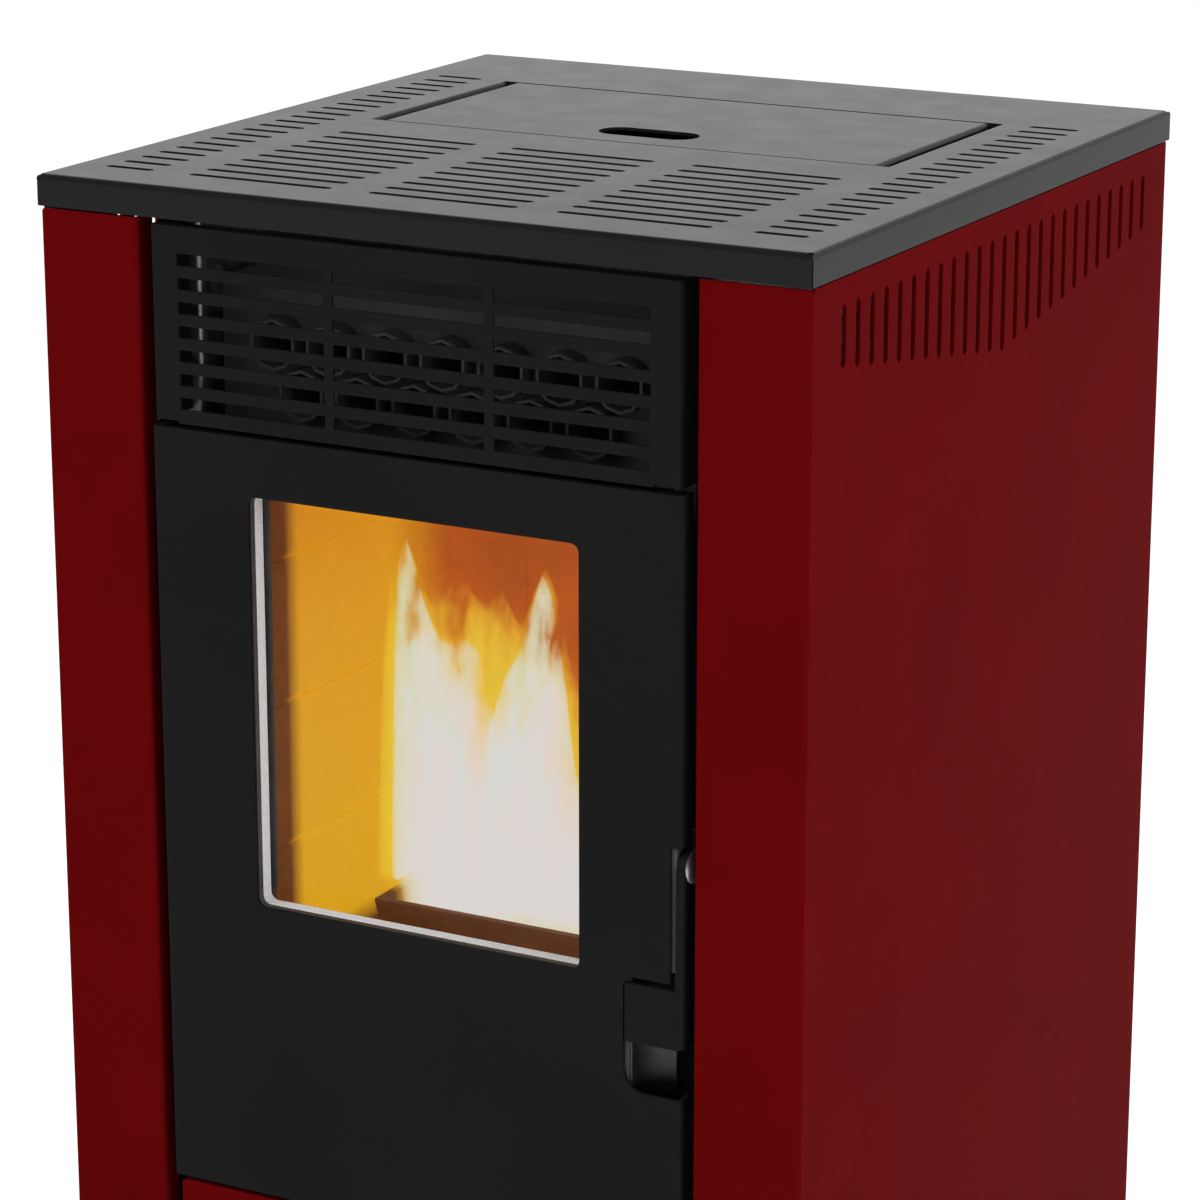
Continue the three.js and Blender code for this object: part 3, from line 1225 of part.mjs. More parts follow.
function makeBackLiner() {
  const half = innerX - SEAT;
  const panel = box(-half, half, linerBack - LINER, linerBack, linerBottom, linerTop);
  const grooves = [-3, -2, -1, 0, 1, 2, 3].map((i) => (
    box(i * 36 - 1.5, i * 36 + 1.5, linerBack - LINER - 1, linerBack - LINER + 2, linerBottom, linerTop)
  ));
  const [x0, x1, z0, z1] = smokeHole;
  const smoke = box(x0, x1, linerBack - LINER - 1, linerBack + 1, z0, z1);
  const igniter = rod('y', IGNITER + 1, [0, igniterZ], linerBack - LINER - 1, linerBack + 1, 12);
  return linerWith(cut(panel, ...grooves, smoke, igniter));
}

function makeBaffle() {
  const z = HEIGHT - BAFFLE_DROP;
  const half = innerX - SEAT;
  const plate = box(-half, half, boxFront + BOX_WALL + 26, linerBack, z, z + BAFFLE);
  const fold = box(-half, half, boxFront + BOX_WALL + 26, boxFront + BOX_WALL + 30, z, z + 5.6);
  return join(plate, fold);
}

// Shelf across the firebox with a hole for the pot, on folded legs.
function makePotShelf() {
  const half = innerX - SEAT;
  const y0 = boxFront + BOX_WALL + SEAT;
  const plate = box(-half, half, y0, linerBack, shelfTop - SHELF, shelfTop);
  const legs = [-1, 1].map((side) => {
    const x = side * (half - SHELF / 2);
    return box(x - SHELF / 2, x + SHELF / 2, y0, linerBack - 60, boxBottom + BOX_WALL + SEAT, shelfTop - 1);
  });
  const seat = potOpening();
  return cut(join(plate, ...legs), seat);
}

const potFront = front + POT_FRONT;
const potBack = potFront + POT_DEPTH;

function potSection(inset) {
  return [-POT_X + inset, POT_X - inset, potFront + inset, potBack - inset];
}

// Space that the pot's tapered cup takes in the shelf, with play all round.
function potOpening() {
  const inset = POT_TAPER * 0.5 - 1;
  const [x0, x1, y0, y1] = potSection(inset);
  return box(x0, x1, y0, y1, shelfTop - SHELF - 1, shelfTop + 1);
}

function makeBurnPot() {
  const bottom = potRim - POT_HEIGHT;
  const cup = funnel(potSection(POT_TAPER), bottom, potSection(0), potRim);
  const floor = potSection(POT_TAPER + POT_WALL);
  const hollow = funnel(floor, bottom + POT_WALL, potSection(POT_WALL), potRim + 0.5);
  const ledge = funnel(potSection(0), shelfTop + SEAT, potSection(0), shelfTop + SEAT + POT_LEDGE);
  const holes = [];
  for (let column = -3; column <= 3; column += 1) {
    for (const row of [-1, 1]) {
      const centre = [column * 21, (potFront + potBack) / 2 + row * 11];
      holes.push(rod('z', POT_HOLE, centre, bottom - 1, bottom + POT_WALL + 1, 5));
    }
  }
  return cut(join(cup, ledge), hollow, ...holes);
}

function makeAshPan() {
  const y0 = front + PAN_SETBACK;
  const y1 = y0 + PAN_DEPTH;
  const z0 = doorwayBottom + SEAT;
  const shell = cut(
    box(-panX, panX, y0, y1, z0, z0 + PAN_HEIGHT),
    box(-panX + THIN_SHEET, panX - THIN_SHEET, y0 + THIN_SHEET, y1 - THIN_SHEET,
      z0 + THIN_SHEET, z0 + PAN_HEIGHT + 1),
  );
  const handle = folded([[y0 + 1, z0 + 30], [y0 - 9, z0 + 30], [y0 - 9, z0 + 18]], THIN_SHEET);
  return join(shell, prism(handle, 'x', -35, 35));
}

add('firebox_body', makeFirebox(), rawSteel);
add('back_liner', makeBackLiner(), vermiculite);
const sideLiner = makeSideLiner();
add('right_liner', sideLiner, vermiculite);
add('left_liner', mirrored(sideLiner), vermiculite);
add('flame_baffle', makeBaffle(), rawSteel);
add('pot_shelf', makePotShelf(), rawSteel);
add('burn_pot', makeBurnPot(), castIron);
add('ash_pan', makeAshPan(), galvanised);

// Cradle that carries the firebox on the base tray.
function makeCradle() {
  const z1 = boxBottom - SEAT;
  const y0 = boxFront + 6;
  const y1 = y0 + CRADLE_DEPTH;
  const section = folded(
    [
      [cradleX - CRADLE_FLANGE, trayTop + SEAT],
      [cradleX, trayTop + SEAT],
      [cradleX, z1],
      [-cradleX, z1],
      [-cradleX, trayTop + SEAT],
      [CRADLE_FLANGE - cradleX, trayTop + SEAT],
    ],
    SHEET,
  );
  const inset = CRADLE_WINDOW_INSET;
  const window = rectangle(y0 + inset, y1 - inset, CRADLE_WINDOW_BOTTOM, boxBottom - CRADLE_WINDOW_DROP);
  const windows = [-1, 1].map((side) => (
    prism(window, 'x', side * cradleX - 4, side * cradleX + 4)
  ));
  const holeY = [y0 + CRADLE_HOLE_INSET, y1 - CRADLE_HOLE_INSET];
  const hole = prism(rectangle(-CRADLE_HOLE_X, CRADLE_HOLE_X, ...holeY), 'z', z1 - 4, z1 + 1);
  return cut(prism(section, 'y', y0, y1), ...windows, hole);
}

function makeIgniter() {
  const y0 = potBack + SEAT;
  const body = rod('y', IGNITER, [0, igniterZ], y0, boxBack + 20, 12);
  const cap = rod('y', IGNITER + 3.5, [0, igniterZ], boxBack + SEAT, boxBack + 20, 12);
  return join(body, cap);
}

add('firebox_cradle', makeCradle(), galvanised);
add('igniter', makeIgniter(), zinc);

// ---------------------------------------------------------------- hopper and feed

function makeHopper() {
  const wall = THIN_SHEET;
  const mouth = [-hopperX, hopperX, HOPPER_FRONT, HOPPER_BACK];
  const neck = [-OUTLET_X, OUTLET_X, OUTLET_FRONT, OUTLET_BACK];
  const shrink = ([x0, x1, y0, y1]) => [x0 + wall, x1 - wall, y0 + wall, y1 - wall];
  const flangeTop = hopperTop + wall;
  const rim = box(-hopperX - HOPPER_FLANGE, hopperX + HOPPER_FLANGE, HOPPER_FRONT - HOPPER_FLANGE,
    HOPPER_BACK + HOPPER_FLANGE, hopperTop, flangeTop);
  const bin = box(...mouth, hopperShoulder, flangeTop);
  const slope = funnel(neck, hopperOutlet, mouth, hopperShoulder);
  const foot = box(-OUTLET_X - 13, OUTLET_X + 13, OUTLET_FRONT - 13, OUTLET_BACK + 13,
    hopperOutlet, hopperOutlet + wall);
  const inner = box(...shrink(mouth), hopperShoulder - 0.01, flangeTop + 1);
  const innerSlope = funnel(shrink(neck), hopperOutlet - 0.01, shrink(mouth), hopperShoulder);
  const exit = box(...shrink(neck), hopperOutlet - 1, hopperOutlet + 1);
  const shell = cut(join(rim, bin, slope, foot), join(inner, innerSlope, exit));
  const ledgeTop = hopperTop - GRID_DROP - SEAT;
  const ledges = [-1, 1].flatMap((side) => [HOPPER_FRONT + 25, HOPPER_BACK - 25].map((y) => {
    const [x0, x1] = side < 0 ? [-hopperX + 1, -hopperX + 9] : [hopperX - 9, hopperX - 1];
    return box(x0, x1, y - 8, y + 8, ledgeTop - 2, ledgeTop);
  }));
  return join(shell, ...ledges);
}

// Guard that keeps fingers away from the auger.
function makeHopperGrid() {
  const x = hopperX - THIN_SHEET - SEAT;
  const [y0, y1] = [HOPPER_FRONT + THIN_SHEET + SEAT, HOPPER_BACK - THIN_SHEET - SEAT];
  const z = hopperTop - GRID_DROP;
  const stepX = (2 * x - GRID_BAR) / GRID_COLUMNS;
  const stepY = (y1 - y0 - GRID_BAR) / GRID_ROWS;
  const gaps = [];
  for (let i = 0; i < GRID_COLUMNS; i += 1) {
    for (let j = 0; j < GRID_ROWS; j += 1) {
      const [u, v] = [-x + GRID_BAR + i * stepX, y0 + GRID_BAR + j * stepY];
      gaps.push(box(u, u + stepX - GRID_BAR, v, v + stepY - GRID_BAR, z - 1, z + GRID_BAR + 1));
    }
  }
  return cut(box(-x, x, y0, y1, z, z + GRID_BAR), ...gaps);
}

function makeLidSeal() {
  const z = hopperTop + THIN_SHEET + SEAT;
  const outer = rectangle(-hopperX - 9, hopperX + 9, HOPPER_FRONT - 7, HOPPER_BACK - 1, 5);
  const inner = rectangle(-hopperX - 1, hopperX + 1, HOPPER_FRONT, HOPPER_BACK - 8, 3);
  return cut(prism(outer, 'z', z, z + SEAL_HEIGHT), prism(inner, 'z', z - 1, z + SEAL_HEIGHT + 1));
}

function makeAugerTube() {
  const inner = AUGER_TUBE - AUGER_TUBE_WALL;
  const tube = alongAuger(rod('z', AUGER_TUBE, [0, 0], 0, AUGER_LENGTH, 12));
  const end = alongAuger(box(-AUGER_TUBE - 1, AUGER_TUBE + 1, -AUGER_TUBE - 1, AUGER_TUBE + 1, -4, 0.5));
  const upper = alongAuger(box(-70, 70, 0, 200, -10, 260));
  const throat = common(
    box(-OUTLET_X, OUTLET_X, OUTLET_FRONT, OUTLET_BACK, throatBottom, hopperOutlet - SEAT),
    upper,
  );
  const collar = box(-OUTLET_X - 13, OUTLET_X + 13, OUTLET_FRONT - 13, OUTLET_BACK + 13,
    hopperOutlet - SEAT - 2, hopperOutlet - SEAT);
  const wall = THIN_SHEET;
  const mouth = common(
    box(-OUTLET_X + wall, OUTLET_X - wall, OUTLET_FRONT + wall, OUTLET_BACK - wall,
      throatBottom, hopperOutlet + 1),
    upper,
  );
  const stub = chute(0, 10, CHUTE_STUB);
  const bore = alongAuger(rod('z', inner, [0, 0], 0.5, AUGER_LENGTH - 4, 12));
  const shaftHole = alongAuger(rod('z', SCREW_SHAFT + 2 * PIN_PLAY, [0, 0], -6, AUGER_LENGTH + 1, 12));
  const passage = chute(-CHUTE_WALL, 0, CHUTE_STUB + 1);
  return cut(join(tube, end, throat, collar, stub), bore, mouth, passage, shaftHole);
}

function makeScrew() {
  return screwForm(SCREW_SHAFT, SCREW, -16, AUGER_LENGTH - 1, 4, SCREW_PITCH, SCREW_TURNS, FLIGHT);
}

function makeGearmotor() {
  const top = -4 - SEAT;
  const gearbox = box(-GEARMOTOR, GEARMOTOR, -GEARMOTOR, GEARMOTOR, top - GEARBOX_LENGTH, top);
  const motorTop = top - GEARBOX_LENGTH + 0.5;
  const motor = rod('z', GEARMOTOR - 3, [0, 0], motorTop - MOTOR_LENGTH, motorTop, 16);
  const band = rod('z', GEARMOTOR - 1, [0, 0], motorTop - 14, motorTop - 8, 16);
  const socket = rod('z', SCREW_SHAFT + 2 * PIN_PLAY, [0, 0], -18, top + 1, 12);
  return cut(join(gearbox, motor, band), socket);
}

add('hopper', makeHopper(), galvanised);
add('hopper_grid', makeHopperGrid(), zinc);
add('lid_seal', makeLidSeal(), rubber);
add('auger_tube', makeAugerTube(), rawSteel);
add('auger_screw', alongAuger(makeScrew()), zinc);
add('auger_gearmotor', alongAuger(makeGearmotor()), aluminium);

// ---------------------------------------------------------------- room air
function makePlenum() {
  const outline = (inset) => new THREE.Shape()
    .moveTo(inset - plenumX, PLENUM_BOTTOM + inset)
    .lineTo(plenumStepX - inset, PLENUM_BOTTOM + inset)
    .lineTo(plenumStepX - inset, plenumStepZ + inset)
    .lineTo(plenumX - inset, plenumStepZ + inset)
    .lineTo(plenumX - inset, boxTop - inset)
    .lineTo(inset - plenumX, boxTop - inset)
    .closePath();
  const [y0, y1] = [boxBack + SEAT, plenumBack];
  const wall = THIN_SHEET;
  const tubeWindow = box(-plenumX + 10, plenumX - 10, y0 - 1, y0 + wall + 1, HEIGHT - 145, boxTop - 10);
  const fanWindow = box(fanX0 + wall, fanX1 - wall, y0 + wall, y1 - wall, PLENUM_BOTTOM - 1, PLENUM_BOTTOM + 3);
  const airHole = rod('y', INLET + 1, [inletX, inletZ], y0 - 1, y1 + 1, 12);
  const igniterHole = rod('y', IGNITER + 5, [0, igniterZ], y0 - 1, y1 + 1, 12);
  return cut(
    prism(outline(0), 'y', y0, y1),
    prism(outline(wall), 'y', y0 + wall, y1 - wall),
    tubeWindow, fanWindow, airHole, igniterHole, chute(SEAT, 0, CHUTE_REACH),
  );
}

const fanCaseY = plenumBack - FAN_CASE;

function fanSection(inset) {
  const throatFront = boxBack + SEAT + inset;
  const radius = FAN_CASE - inset;
  const end = Math.acos((throatFront - fanCaseY) / radius);
  const top = PLENUM_BOTTOM - SEAT;
  const shape = new THREE.Shape();
  shape.moveTo(plenumBack - inset, top + inset).lineTo(plenumBack - inset, FAN_Z);
  shape.absarc(fanCaseY, FAN_Z, radius, 0, end, true);
  shape.lineTo(throatFront, top + inset);
  return shape.closePath();
}

function makeFanHousing() {
  const wall = THIN_SHEET;
  const outer = common(
    prism(fanSection(0), 'x', fanX0, fanX1, 8),
    box(fanX0, fanX1, -200, 0, 0, PLENUM_BOTTOM - SEAT),
  );
  const hollow = prism(fanSection(wall), 'x', fanX0 + wall, fanX1 - wall, 8);
  const intake = box(fanX0 + 8, fanX1 - 8, fanCaseY - FAN_CASE - 1, fanCaseY - FAN_CASE * 0.6,
    FAN_Z - 34, FAN_Z + 22);
  const bearing = rod('x', SHAFT + PIN_PLAY, [FAN_Y, FAN_Z], fanX0 - 1, fanX1 + 1, 12);
  const legs = [fanX0 + 12, fanX1 - 24].map((x) => (
    cut(box(x, x + 12, fanCaseY - 22, fanCaseY + 22, trayTop + SEAT, FAN_Z - FAN_CASE + 12),
      rod('x', FAN_CASE - 1, [fanCaseY, FAN_Z], x - 1, x + 13, 16))
  ));
  return cut(join(outer, ...legs), hollow, intake, bearing);
}

function makeFanImpeller() {
  const [x0, x1] = [fanX0 + 4, fanX1 - 4];
  const plates = [x0, x1 - 2].map((x) => rod('x', FAN_RADIUS, [FAN_Y, FAN_Z], x, x + 2, 12));
  const shaft = rod('x', SHAFT, [FAN_Y, FAN_Z], fanX0 - 12, fanX1 - 0.2, 8);
  const blades = [];
  for (let i = 0; i < FAN_BLADES; i += 1) {
    const angle = (2 * Math.PI * i) / FAN_BLADES;
    const points = [0, 1].map((step) => {
      const radius = FAN_RADIUS - 1 - step * 7;
      const turn = angle + step * 0.25;
      return [FAN_Y + radius * Math.cos(turn), FAN_Z + radius * Math.sin(turn)];
    });
    blades.push(prism(strip(points, 1), 'x', x0 + 1, x1 - 1));
  }
  return join(...plates, shaft, ...blades);
}

function makeFanMotor() {
  const x1 = fanX0 - SEAT;
  const x0 = x1 - FAN_MOTOR_LENGTH;
  const body = rod('x', FAN_MOTOR, [FAN_Y, FAN_Z], x0 + 6, x1, 16);
  const cap = rod('x', FAN_MOTOR - 8, [FAN_Y, FAN_Z], x0, x0 + 7, 16);
  const core = box(x0 + 12, x1 - 8, FAN_Y - FAN_MOTOR - 3, FAN_Y + FAN_MOTOR + 3,
    FAN_Z - FAN_MOTOR + 6, FAN_Z + FAN_MOTOR - 6);
  return cut(join(body, cap, core), rod('x', SHAFT + PIN_PLAY, [FAN_Y, FAN_Z], x1 - 16, x1 + 1, 12));
}

add('air_plenum', makePlenum(), galvanised);
add('room_fan_housing', makeFanHousing(), galvanised);
add('room_fan_impeller', makeFanImpeller(), aluminium);
add('room_fan_motor', makeFanMotor(), rawSteel);

// ---------------------------------------------------------------- smoke path
function makeSmokeBox() {
  const outline = (inset) => new THREE.Shape()
    .moveTo(boxBack + SEAT + inset, smokeTop - 56 + inset)
    .lineTo(20 + inset, 300)
    .lineTo(20 + inset, SMOKE_BOTTOM + inset)
    .lineTo(SMOKE_BACK - inset, SMOKE_BOTTOM + inset)
    .lineTo(SMOKE_BACK - inset, 290)
    .lineTo(30, smokeTop - inset)
    .lineTo(boxBack + SEAT + inset, smokeTop - inset)
    .closePath();
  const [x0, x1] = [smokeX, smokeX + SMOKE_WIDTH];
  const [hx0, hx1, hz0, hz1] = smokeHole;
  const port = box(hx0, hx1, boxBack, boxBack + 4, hz0, hz1);
  const eye = rod('x', EYE, [SCROLL_Y, SCROLL_Z], x1 - 4, x1 + 1, 16);
  return cut(
    prism(outline(0), 'x', x0, x1),
    prism(outline(THIN_SHEET), 'x', x0 + THIN_SHEET, x1 - THIN_SHEET),
    port, eye,
  );
}

function scrollSection(inset, end) {
  const shape = new THREE.Shape();
  const steps = 18;
  for (let i = 0; i <= steps; i += 1) {
    const angle = -Math.PI / 4 + (1.75 * Math.PI * i) / steps;
    const radius = SCROLL_SMALL + ((SCROLL_LARGE - SCROLL_SMALL) * i) / steps - inset;
    const point = [SCROLL_Y + radius * Math.cos(angle), SCROLL_Z + radius * Math.sin(angle)];
    if (i === 0) {
      shape.moveTo(...point);
    } else {
      shape.lineTo(...point);
    }
  }
  const tongue = SCROLL_Z - SCROLL_SMALL * Math.sin(Math.PI / 4);
  shape.lineTo(end, SCROLL_Z - SCROLL_LARGE + inset).lineTo(end, tongue - inset);
  return shape.closePath();
}

function makeExtractorHousing() {
  const [x0, x1] = [scrollX, scrollX + SCROLL_WIDTH];
  const wall = THIN_SHEET;
  const half = OUTLET_FLANGE / 2;
  const flange = box(flueX - half, flueX + half, SCROLL_END - 3, SCROLL_END, flueZ - half, flueZ + half);
  const eye = rod('x', EYE, [SCROLL_Y, SCROLL_Z], x0 - 1, x0 + wall + 1, 16);
  const shaftHole = rod('x', SHAFT + PIN_PLAY, [SCROLL_Y, SCROLL_Z], x1 - 4, x1 + 1, 12);
  const legTop = SCROLL_Z - SCROLL_LARGE + 14;
  const legs = [SCROLL_Y - 40, SCROLL_Y + 30].map((y) => (
    cut(
      box(x0 + 8, x1 - 8, y, y + 3, trayTop + SEAT, legTop),
      rod('x', SCROLL_LARGE - 6, [SCROLL_Y, SCROLL_Z], x0, x1, 36),
    )
  ));
  return cut(
    join(prism(scrollSection(0, SCROLL_END), 'x', x0, x1), flange, ...legs),
    prism(scrollSection(wall, SCROLL_END + 1), 'x', x0 + wall, x1 - wall),
    eye, shaftHole,
  );
}

function makeExtractorImpeller() {
  const [x0, x1] = [scrollX + 6, scrollX + SCROLL_WIDTH - 8];
  const disc = rod('x', IMPELLER, [SCROLL_Y, SCROLL_Z], x1 - 2, x1, 16);
  const hub = rod('x', 11, [SCROLL_Y, SCROLL_Z], x0 + 12, x1 - 1, 12);
  const shaft = rod('x', SHAFT, [SCROLL_Y, SCROLL_Z], x0 + 14, scrollX + SCROLL_WIDTH + 14, 12);
  const blades = [];
  for (let i = 0; i < IMPELLER_BLADES; i += 1) {
    const angle = (2 * Math.PI * i) / IMPELLER_BLADES;
    const points = [0, 1, 2].map((step) => {
      const radius = IMPELLER - 1 - step * 14;
      const turn = angle + step * 0.24;
      return [SCROLL_Y + radius * Math.cos(turn), SCROLL_Z + radius * Math.sin(turn)];
    });
    blades.push(prism(strip(points, 1.5), 'x', x0, x1 - 1));
  }
  return join(disc, hub, shaft, ...blades);
}

function makeExtractorMotor() {
  const x0 = scrollX + SCROLL_WIDTH + SEAT;
  const x1 = x0 + EXTRACTOR_MOTOR_LENGTH;
  const plate = rod('x', EXTRACTOR_MOTOR + 8, [SCROLL_Y, SCROLL_Z], x0, x0 + 3, 16);
  const body = rod('x', EXTRACTOR_MOTOR, [SCROLL_Y, SCROLL_Z], x0 + 2, x1 - 4, 16);
  const cap = rod('x', EXTRACTOR_MOTOR - 9, [SCROLL_Y, SCROLL_Z], x1 - 5, x1, 12);
  return cut(join(plate, body, cap), rod('x', SHAFT + PIN_PLAY, [SCROLL_Y, SCROLL_Z], x0 - 1, x0 + 16, 12));
}

function makeFlue() {
  const start = SCROLL_END + SEAT;
  const half = OUTLET_FLANGE / 2;
  const flange = box(flueX - half, flueX + half, start, start + 3, flueZ - half, flueZ + half);
  const bead = rod('y', FLUE + 2, [flueX, flueZ], flueEnd - 8, flueEnd - 4, FLUE_SIDES);
  const bore = rod('y', FLUE - PIPE_WALL, [flueX, flueZ], start - 1, flueEnd + 1, FLUE_SIDES);
  return cut(join(flange, rod('y', FLUE, [flueX, flueZ], start + 1, flueEnd, FLUE_SIDES), bead), bore);
}

function makeAirInlet() {
  const start = boxBack - BOX_WALL + SEAT;
  return pipe('y', INLET, PIPE_WALL, [inletX, inletZ], start, flueEnd, 20);
}

add('smoke_box', makeSmokeBox(), galvanised);
add('extractor_housing', makeExtractorHousing(), galvanised);
add('extractor_impeller', makeExtractorImpeller(), zinc);
add('extractor_motor', makeExtractorMotor(), aluminium);
add('flue_spigot', makeFlue(), galvanised);
add('air_inlet_pipe', makeAirInlet(), galvanised);

// ---------------------------------------------------------------- back and electrics
function makeRearPanel() {
  const half = panelX - SHEET - SEAT;
  const rim = panelBack - SHEET - SEAT - 2;
  const [z0, z1] = [TRAY_BOTTOM + TRAY_LIP + SEAT, under - SEAT];
  const section = folded([[-half, rim], [-half, rearPanelY], [half, rearPanelY], [half, rim]], THIN_SHEET);
  const [y0, y1] = [rearPanelY - 1, rearPanelY + THIN_SHEET + 1];
  const vents = [];
  for (const x of [-VENT_X, VENT_X]) {
    for (let row = 0; row < VENT_ROWS; row += 1) {
      const z = ventZ + row * VENT_PITCH;
      vents.push(box(x - VENT_WIDTH / 2, x + VENT_WIDTH / 2, y0, y1, z, z + VENT_HEIGHT));
    }
  }
  const flue = rod('y', FLUE + 3, [flueX, flueZ], y0, y1, FLUE_SIDES);
  const inlet = rod('y', INLET + 1.5, [inletX, inletZ], y0, y1, 20);
  const socket = box(socketX - SOCKET_WIDTH / 2 + 2, socketX + SOCKET_WIDTH / 2 - 2, y0, y1,
    SOCKET_Z - SOCKET_HEIGHT / 2 + 2, SOCKET_Z + SOCKET_HEIGHT / 2 - 2);
  const rocker = box(socketX - SWITCH_WIDTH / 2 + 2, socketX + SWITCH_WIDTH / 2 - 2, y0, y1,
    SWITCH_Z - SWITCH_HEIGHT / 2 + 2, SWITCH_Z + SWITCH_HEIGHT / 2 - 2);
  return cut(prism(section, 'z', z0, z1), ...vents, flue, inlet, socket, rocker);
}

const plateFace = rearPanelY + THIN_SHEET + SEAT;

function makePowerInlet() {
  const shape = (margin) => rectangle(socketX - SOCKET_WIDTH / 2 + margin, socketX + SOCKET_WIDTH / 2 - margin,
    SOCKET_Z - SOCKET_HEIGHT / 2 + margin, SOCKET_Z + SOCKET_HEIGHT / 2 - margin);
  const flange = prism(shape(0), 'y', plateFace, plateFace + 3);
  const body = prism(shape(2.5), 'y', plateFace - 24, plateFace + 1);
  const recess = prism(shape(4.5), 'y', plateFace - 16, plateFace + 4);
  const pins = [-7, 0, 7].map((x) => (
    box(socketX + x - 1, socketX + x + 1, plateFace - 17, plateFace - 4, SOCKET_Z - 2.5, SOCKET_Z + 2.5)
  ));
  return join(cut(join(flange, body), recess), ...pins);
}

function makeSwitchBody() {
  const shape = (margin) => rectangle(socketX - SWITCH_WIDTH / 2 + margin, socketX + SWITCH_WIDTH / 2 - margin,
    SWITCH_Z - SWITCH_HEIGHT / 2 + margin, SWITCH_Z + SWITCH_HEIGHT / 2 - margin);
  const flange = prism(shape(0), 'y', plateFace, plateFace + 2);
  const body = prism(shape(2.5), 'y', plateFace - 18, plateFace + 1);
  return cut(join(flange, body), prism(shape(4), 'y', plateFace - 14, plateFace + 3));
}

function makeRocker() {
  const half = SWITCH_WIDTH / 2 - 4 - 0.4;
  const [y, z] = [plateFace - 4, SWITCH_Z];
  const shape = new THREE.Shape();
  shape.absarc(y - 2, z, ROCKER_RADIUS, -1.1, 1.1).lineTo(y - 5, z);
  return prism(shape.closePath(), 'x', socketX - half, socketX + half, 6);
}

function makeControlBoard() {
  const board = box(boardX, boardX + 1.6, BOARD_Y0, BOARD_Y1, BOARD_Z0, BOARD_Z1);
  const x = boardX + 1.2;
  const transformer = box(x, x + 30, BOARD_Y0 + 12, BOARD_Y0 + 52, BOARD_Z0 + 12, BOARD_Z0 + 58);
  const relays = [0, 1, 2].map((i) => (
    box(x, x + 15, BOARD_Y0 + 68 + i * 22, BOARD_Y0 + 84 + i * 22, BOARD_Z0 + 14, BOARD_Z0 + 34)
  ));
  const chip = box(x, x + 4, BOARD_Y0 + 60, BOARD_Y0 + 84, BOARD_Z0 + 90, BOARD_Z0 + 114);
  const capacitors = [0, 1].map((i) => rod('x', 8, [BOARD_Y0 + 24 + i * 20, BOARD_Z0 + 80], x, x + 26, 12));
  const terminals = box(x, x + 11, BOARD_Y0 + 20, BOARD_Y1 - 20, BOARD_Z1 - 14, BOARD_Z1 - 4);
  const posts = [BOARD_Y0 + 6, BOARD_Y1 - 6].flatMap((y) => [BOARD_Z0 + 6, BOARD_Z1 - 6].map((z) => (
    rod('x', 3, [y, z], -frameX + SEAT, boardX + 0.5, 8)
  )));
  return join(board, transformer, ...relays, chip, ...capacitors, terminals, ...posts);
}

add('rear_panel', makeRearPanel(), black);
add('power_inlet', makePowerInlet(), plastic);
add('switch_body', makeSwitchBody(), plastic);
add('switch_rocker', makeRocker(), plastic);
add('control_board', makeControlBoard(), circuit);

export default stove;
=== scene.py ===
"""Pellet stove: materials, fire, small fasteners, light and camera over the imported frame."""

import json
import math

import bmesh
import bpy
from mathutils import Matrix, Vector


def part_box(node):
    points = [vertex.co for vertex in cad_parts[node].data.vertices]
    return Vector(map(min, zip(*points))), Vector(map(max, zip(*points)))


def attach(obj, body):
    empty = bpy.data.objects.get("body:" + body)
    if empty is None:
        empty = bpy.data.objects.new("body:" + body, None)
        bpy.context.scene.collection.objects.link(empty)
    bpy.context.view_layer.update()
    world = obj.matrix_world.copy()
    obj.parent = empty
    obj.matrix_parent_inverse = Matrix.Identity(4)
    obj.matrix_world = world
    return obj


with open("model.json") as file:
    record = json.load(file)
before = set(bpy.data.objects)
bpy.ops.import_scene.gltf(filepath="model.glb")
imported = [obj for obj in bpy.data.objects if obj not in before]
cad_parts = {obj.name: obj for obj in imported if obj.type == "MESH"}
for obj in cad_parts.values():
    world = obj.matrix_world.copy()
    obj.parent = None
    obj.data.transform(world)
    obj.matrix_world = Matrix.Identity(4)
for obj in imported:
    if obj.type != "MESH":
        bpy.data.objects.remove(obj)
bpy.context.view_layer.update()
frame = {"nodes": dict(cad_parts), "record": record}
nodes = frame["nodes"]

# ------------------------------------------------------------------ settings, lengths in metres
CAMERA_PLACE = (1.1285, -2.1355, 1.2962)
CAMERA_AZIMUTH = 28.37  # degrees to the right of the stove's front
CAMERA_PITCH = 16.12  # degrees below the horizon
LENS = 124.9  # millimetres, as the sensor is
SENSOR = 36.0
CLIP_END = 50.0

LIGHT_TARGET = (0.0, 0.0, 0.5)
LIGHT_SIZE = (2.0, 2.0)
KEY_PLACE, KEY_POWER = (-1.6, -2.6, 2.6), 60.0
SIDE_PLACE, SIDE_POWER = (3.0, -0.6, 1.6), 55.0

WHITE = (1.0, 1.0, 1.0)
SOFT_FILL = 0.62  # strength of the light from all round
MIRROR_DARK, MIRROR_LIGHT = 0.10, 1.0  # what reflections see in front of the stove and behind it
MIRROR_FROM, MIRROR_TO = -0.15, 0.75  # directions along Y between which one turns into the other
FLOOR_REACH = 12.0
FLOOR_COLOR = (0.92, 0.92, 0.92)
FLOOR_LIFT = 0.45  # added where the floor is seen, so that it shows as white and keeps the shadow

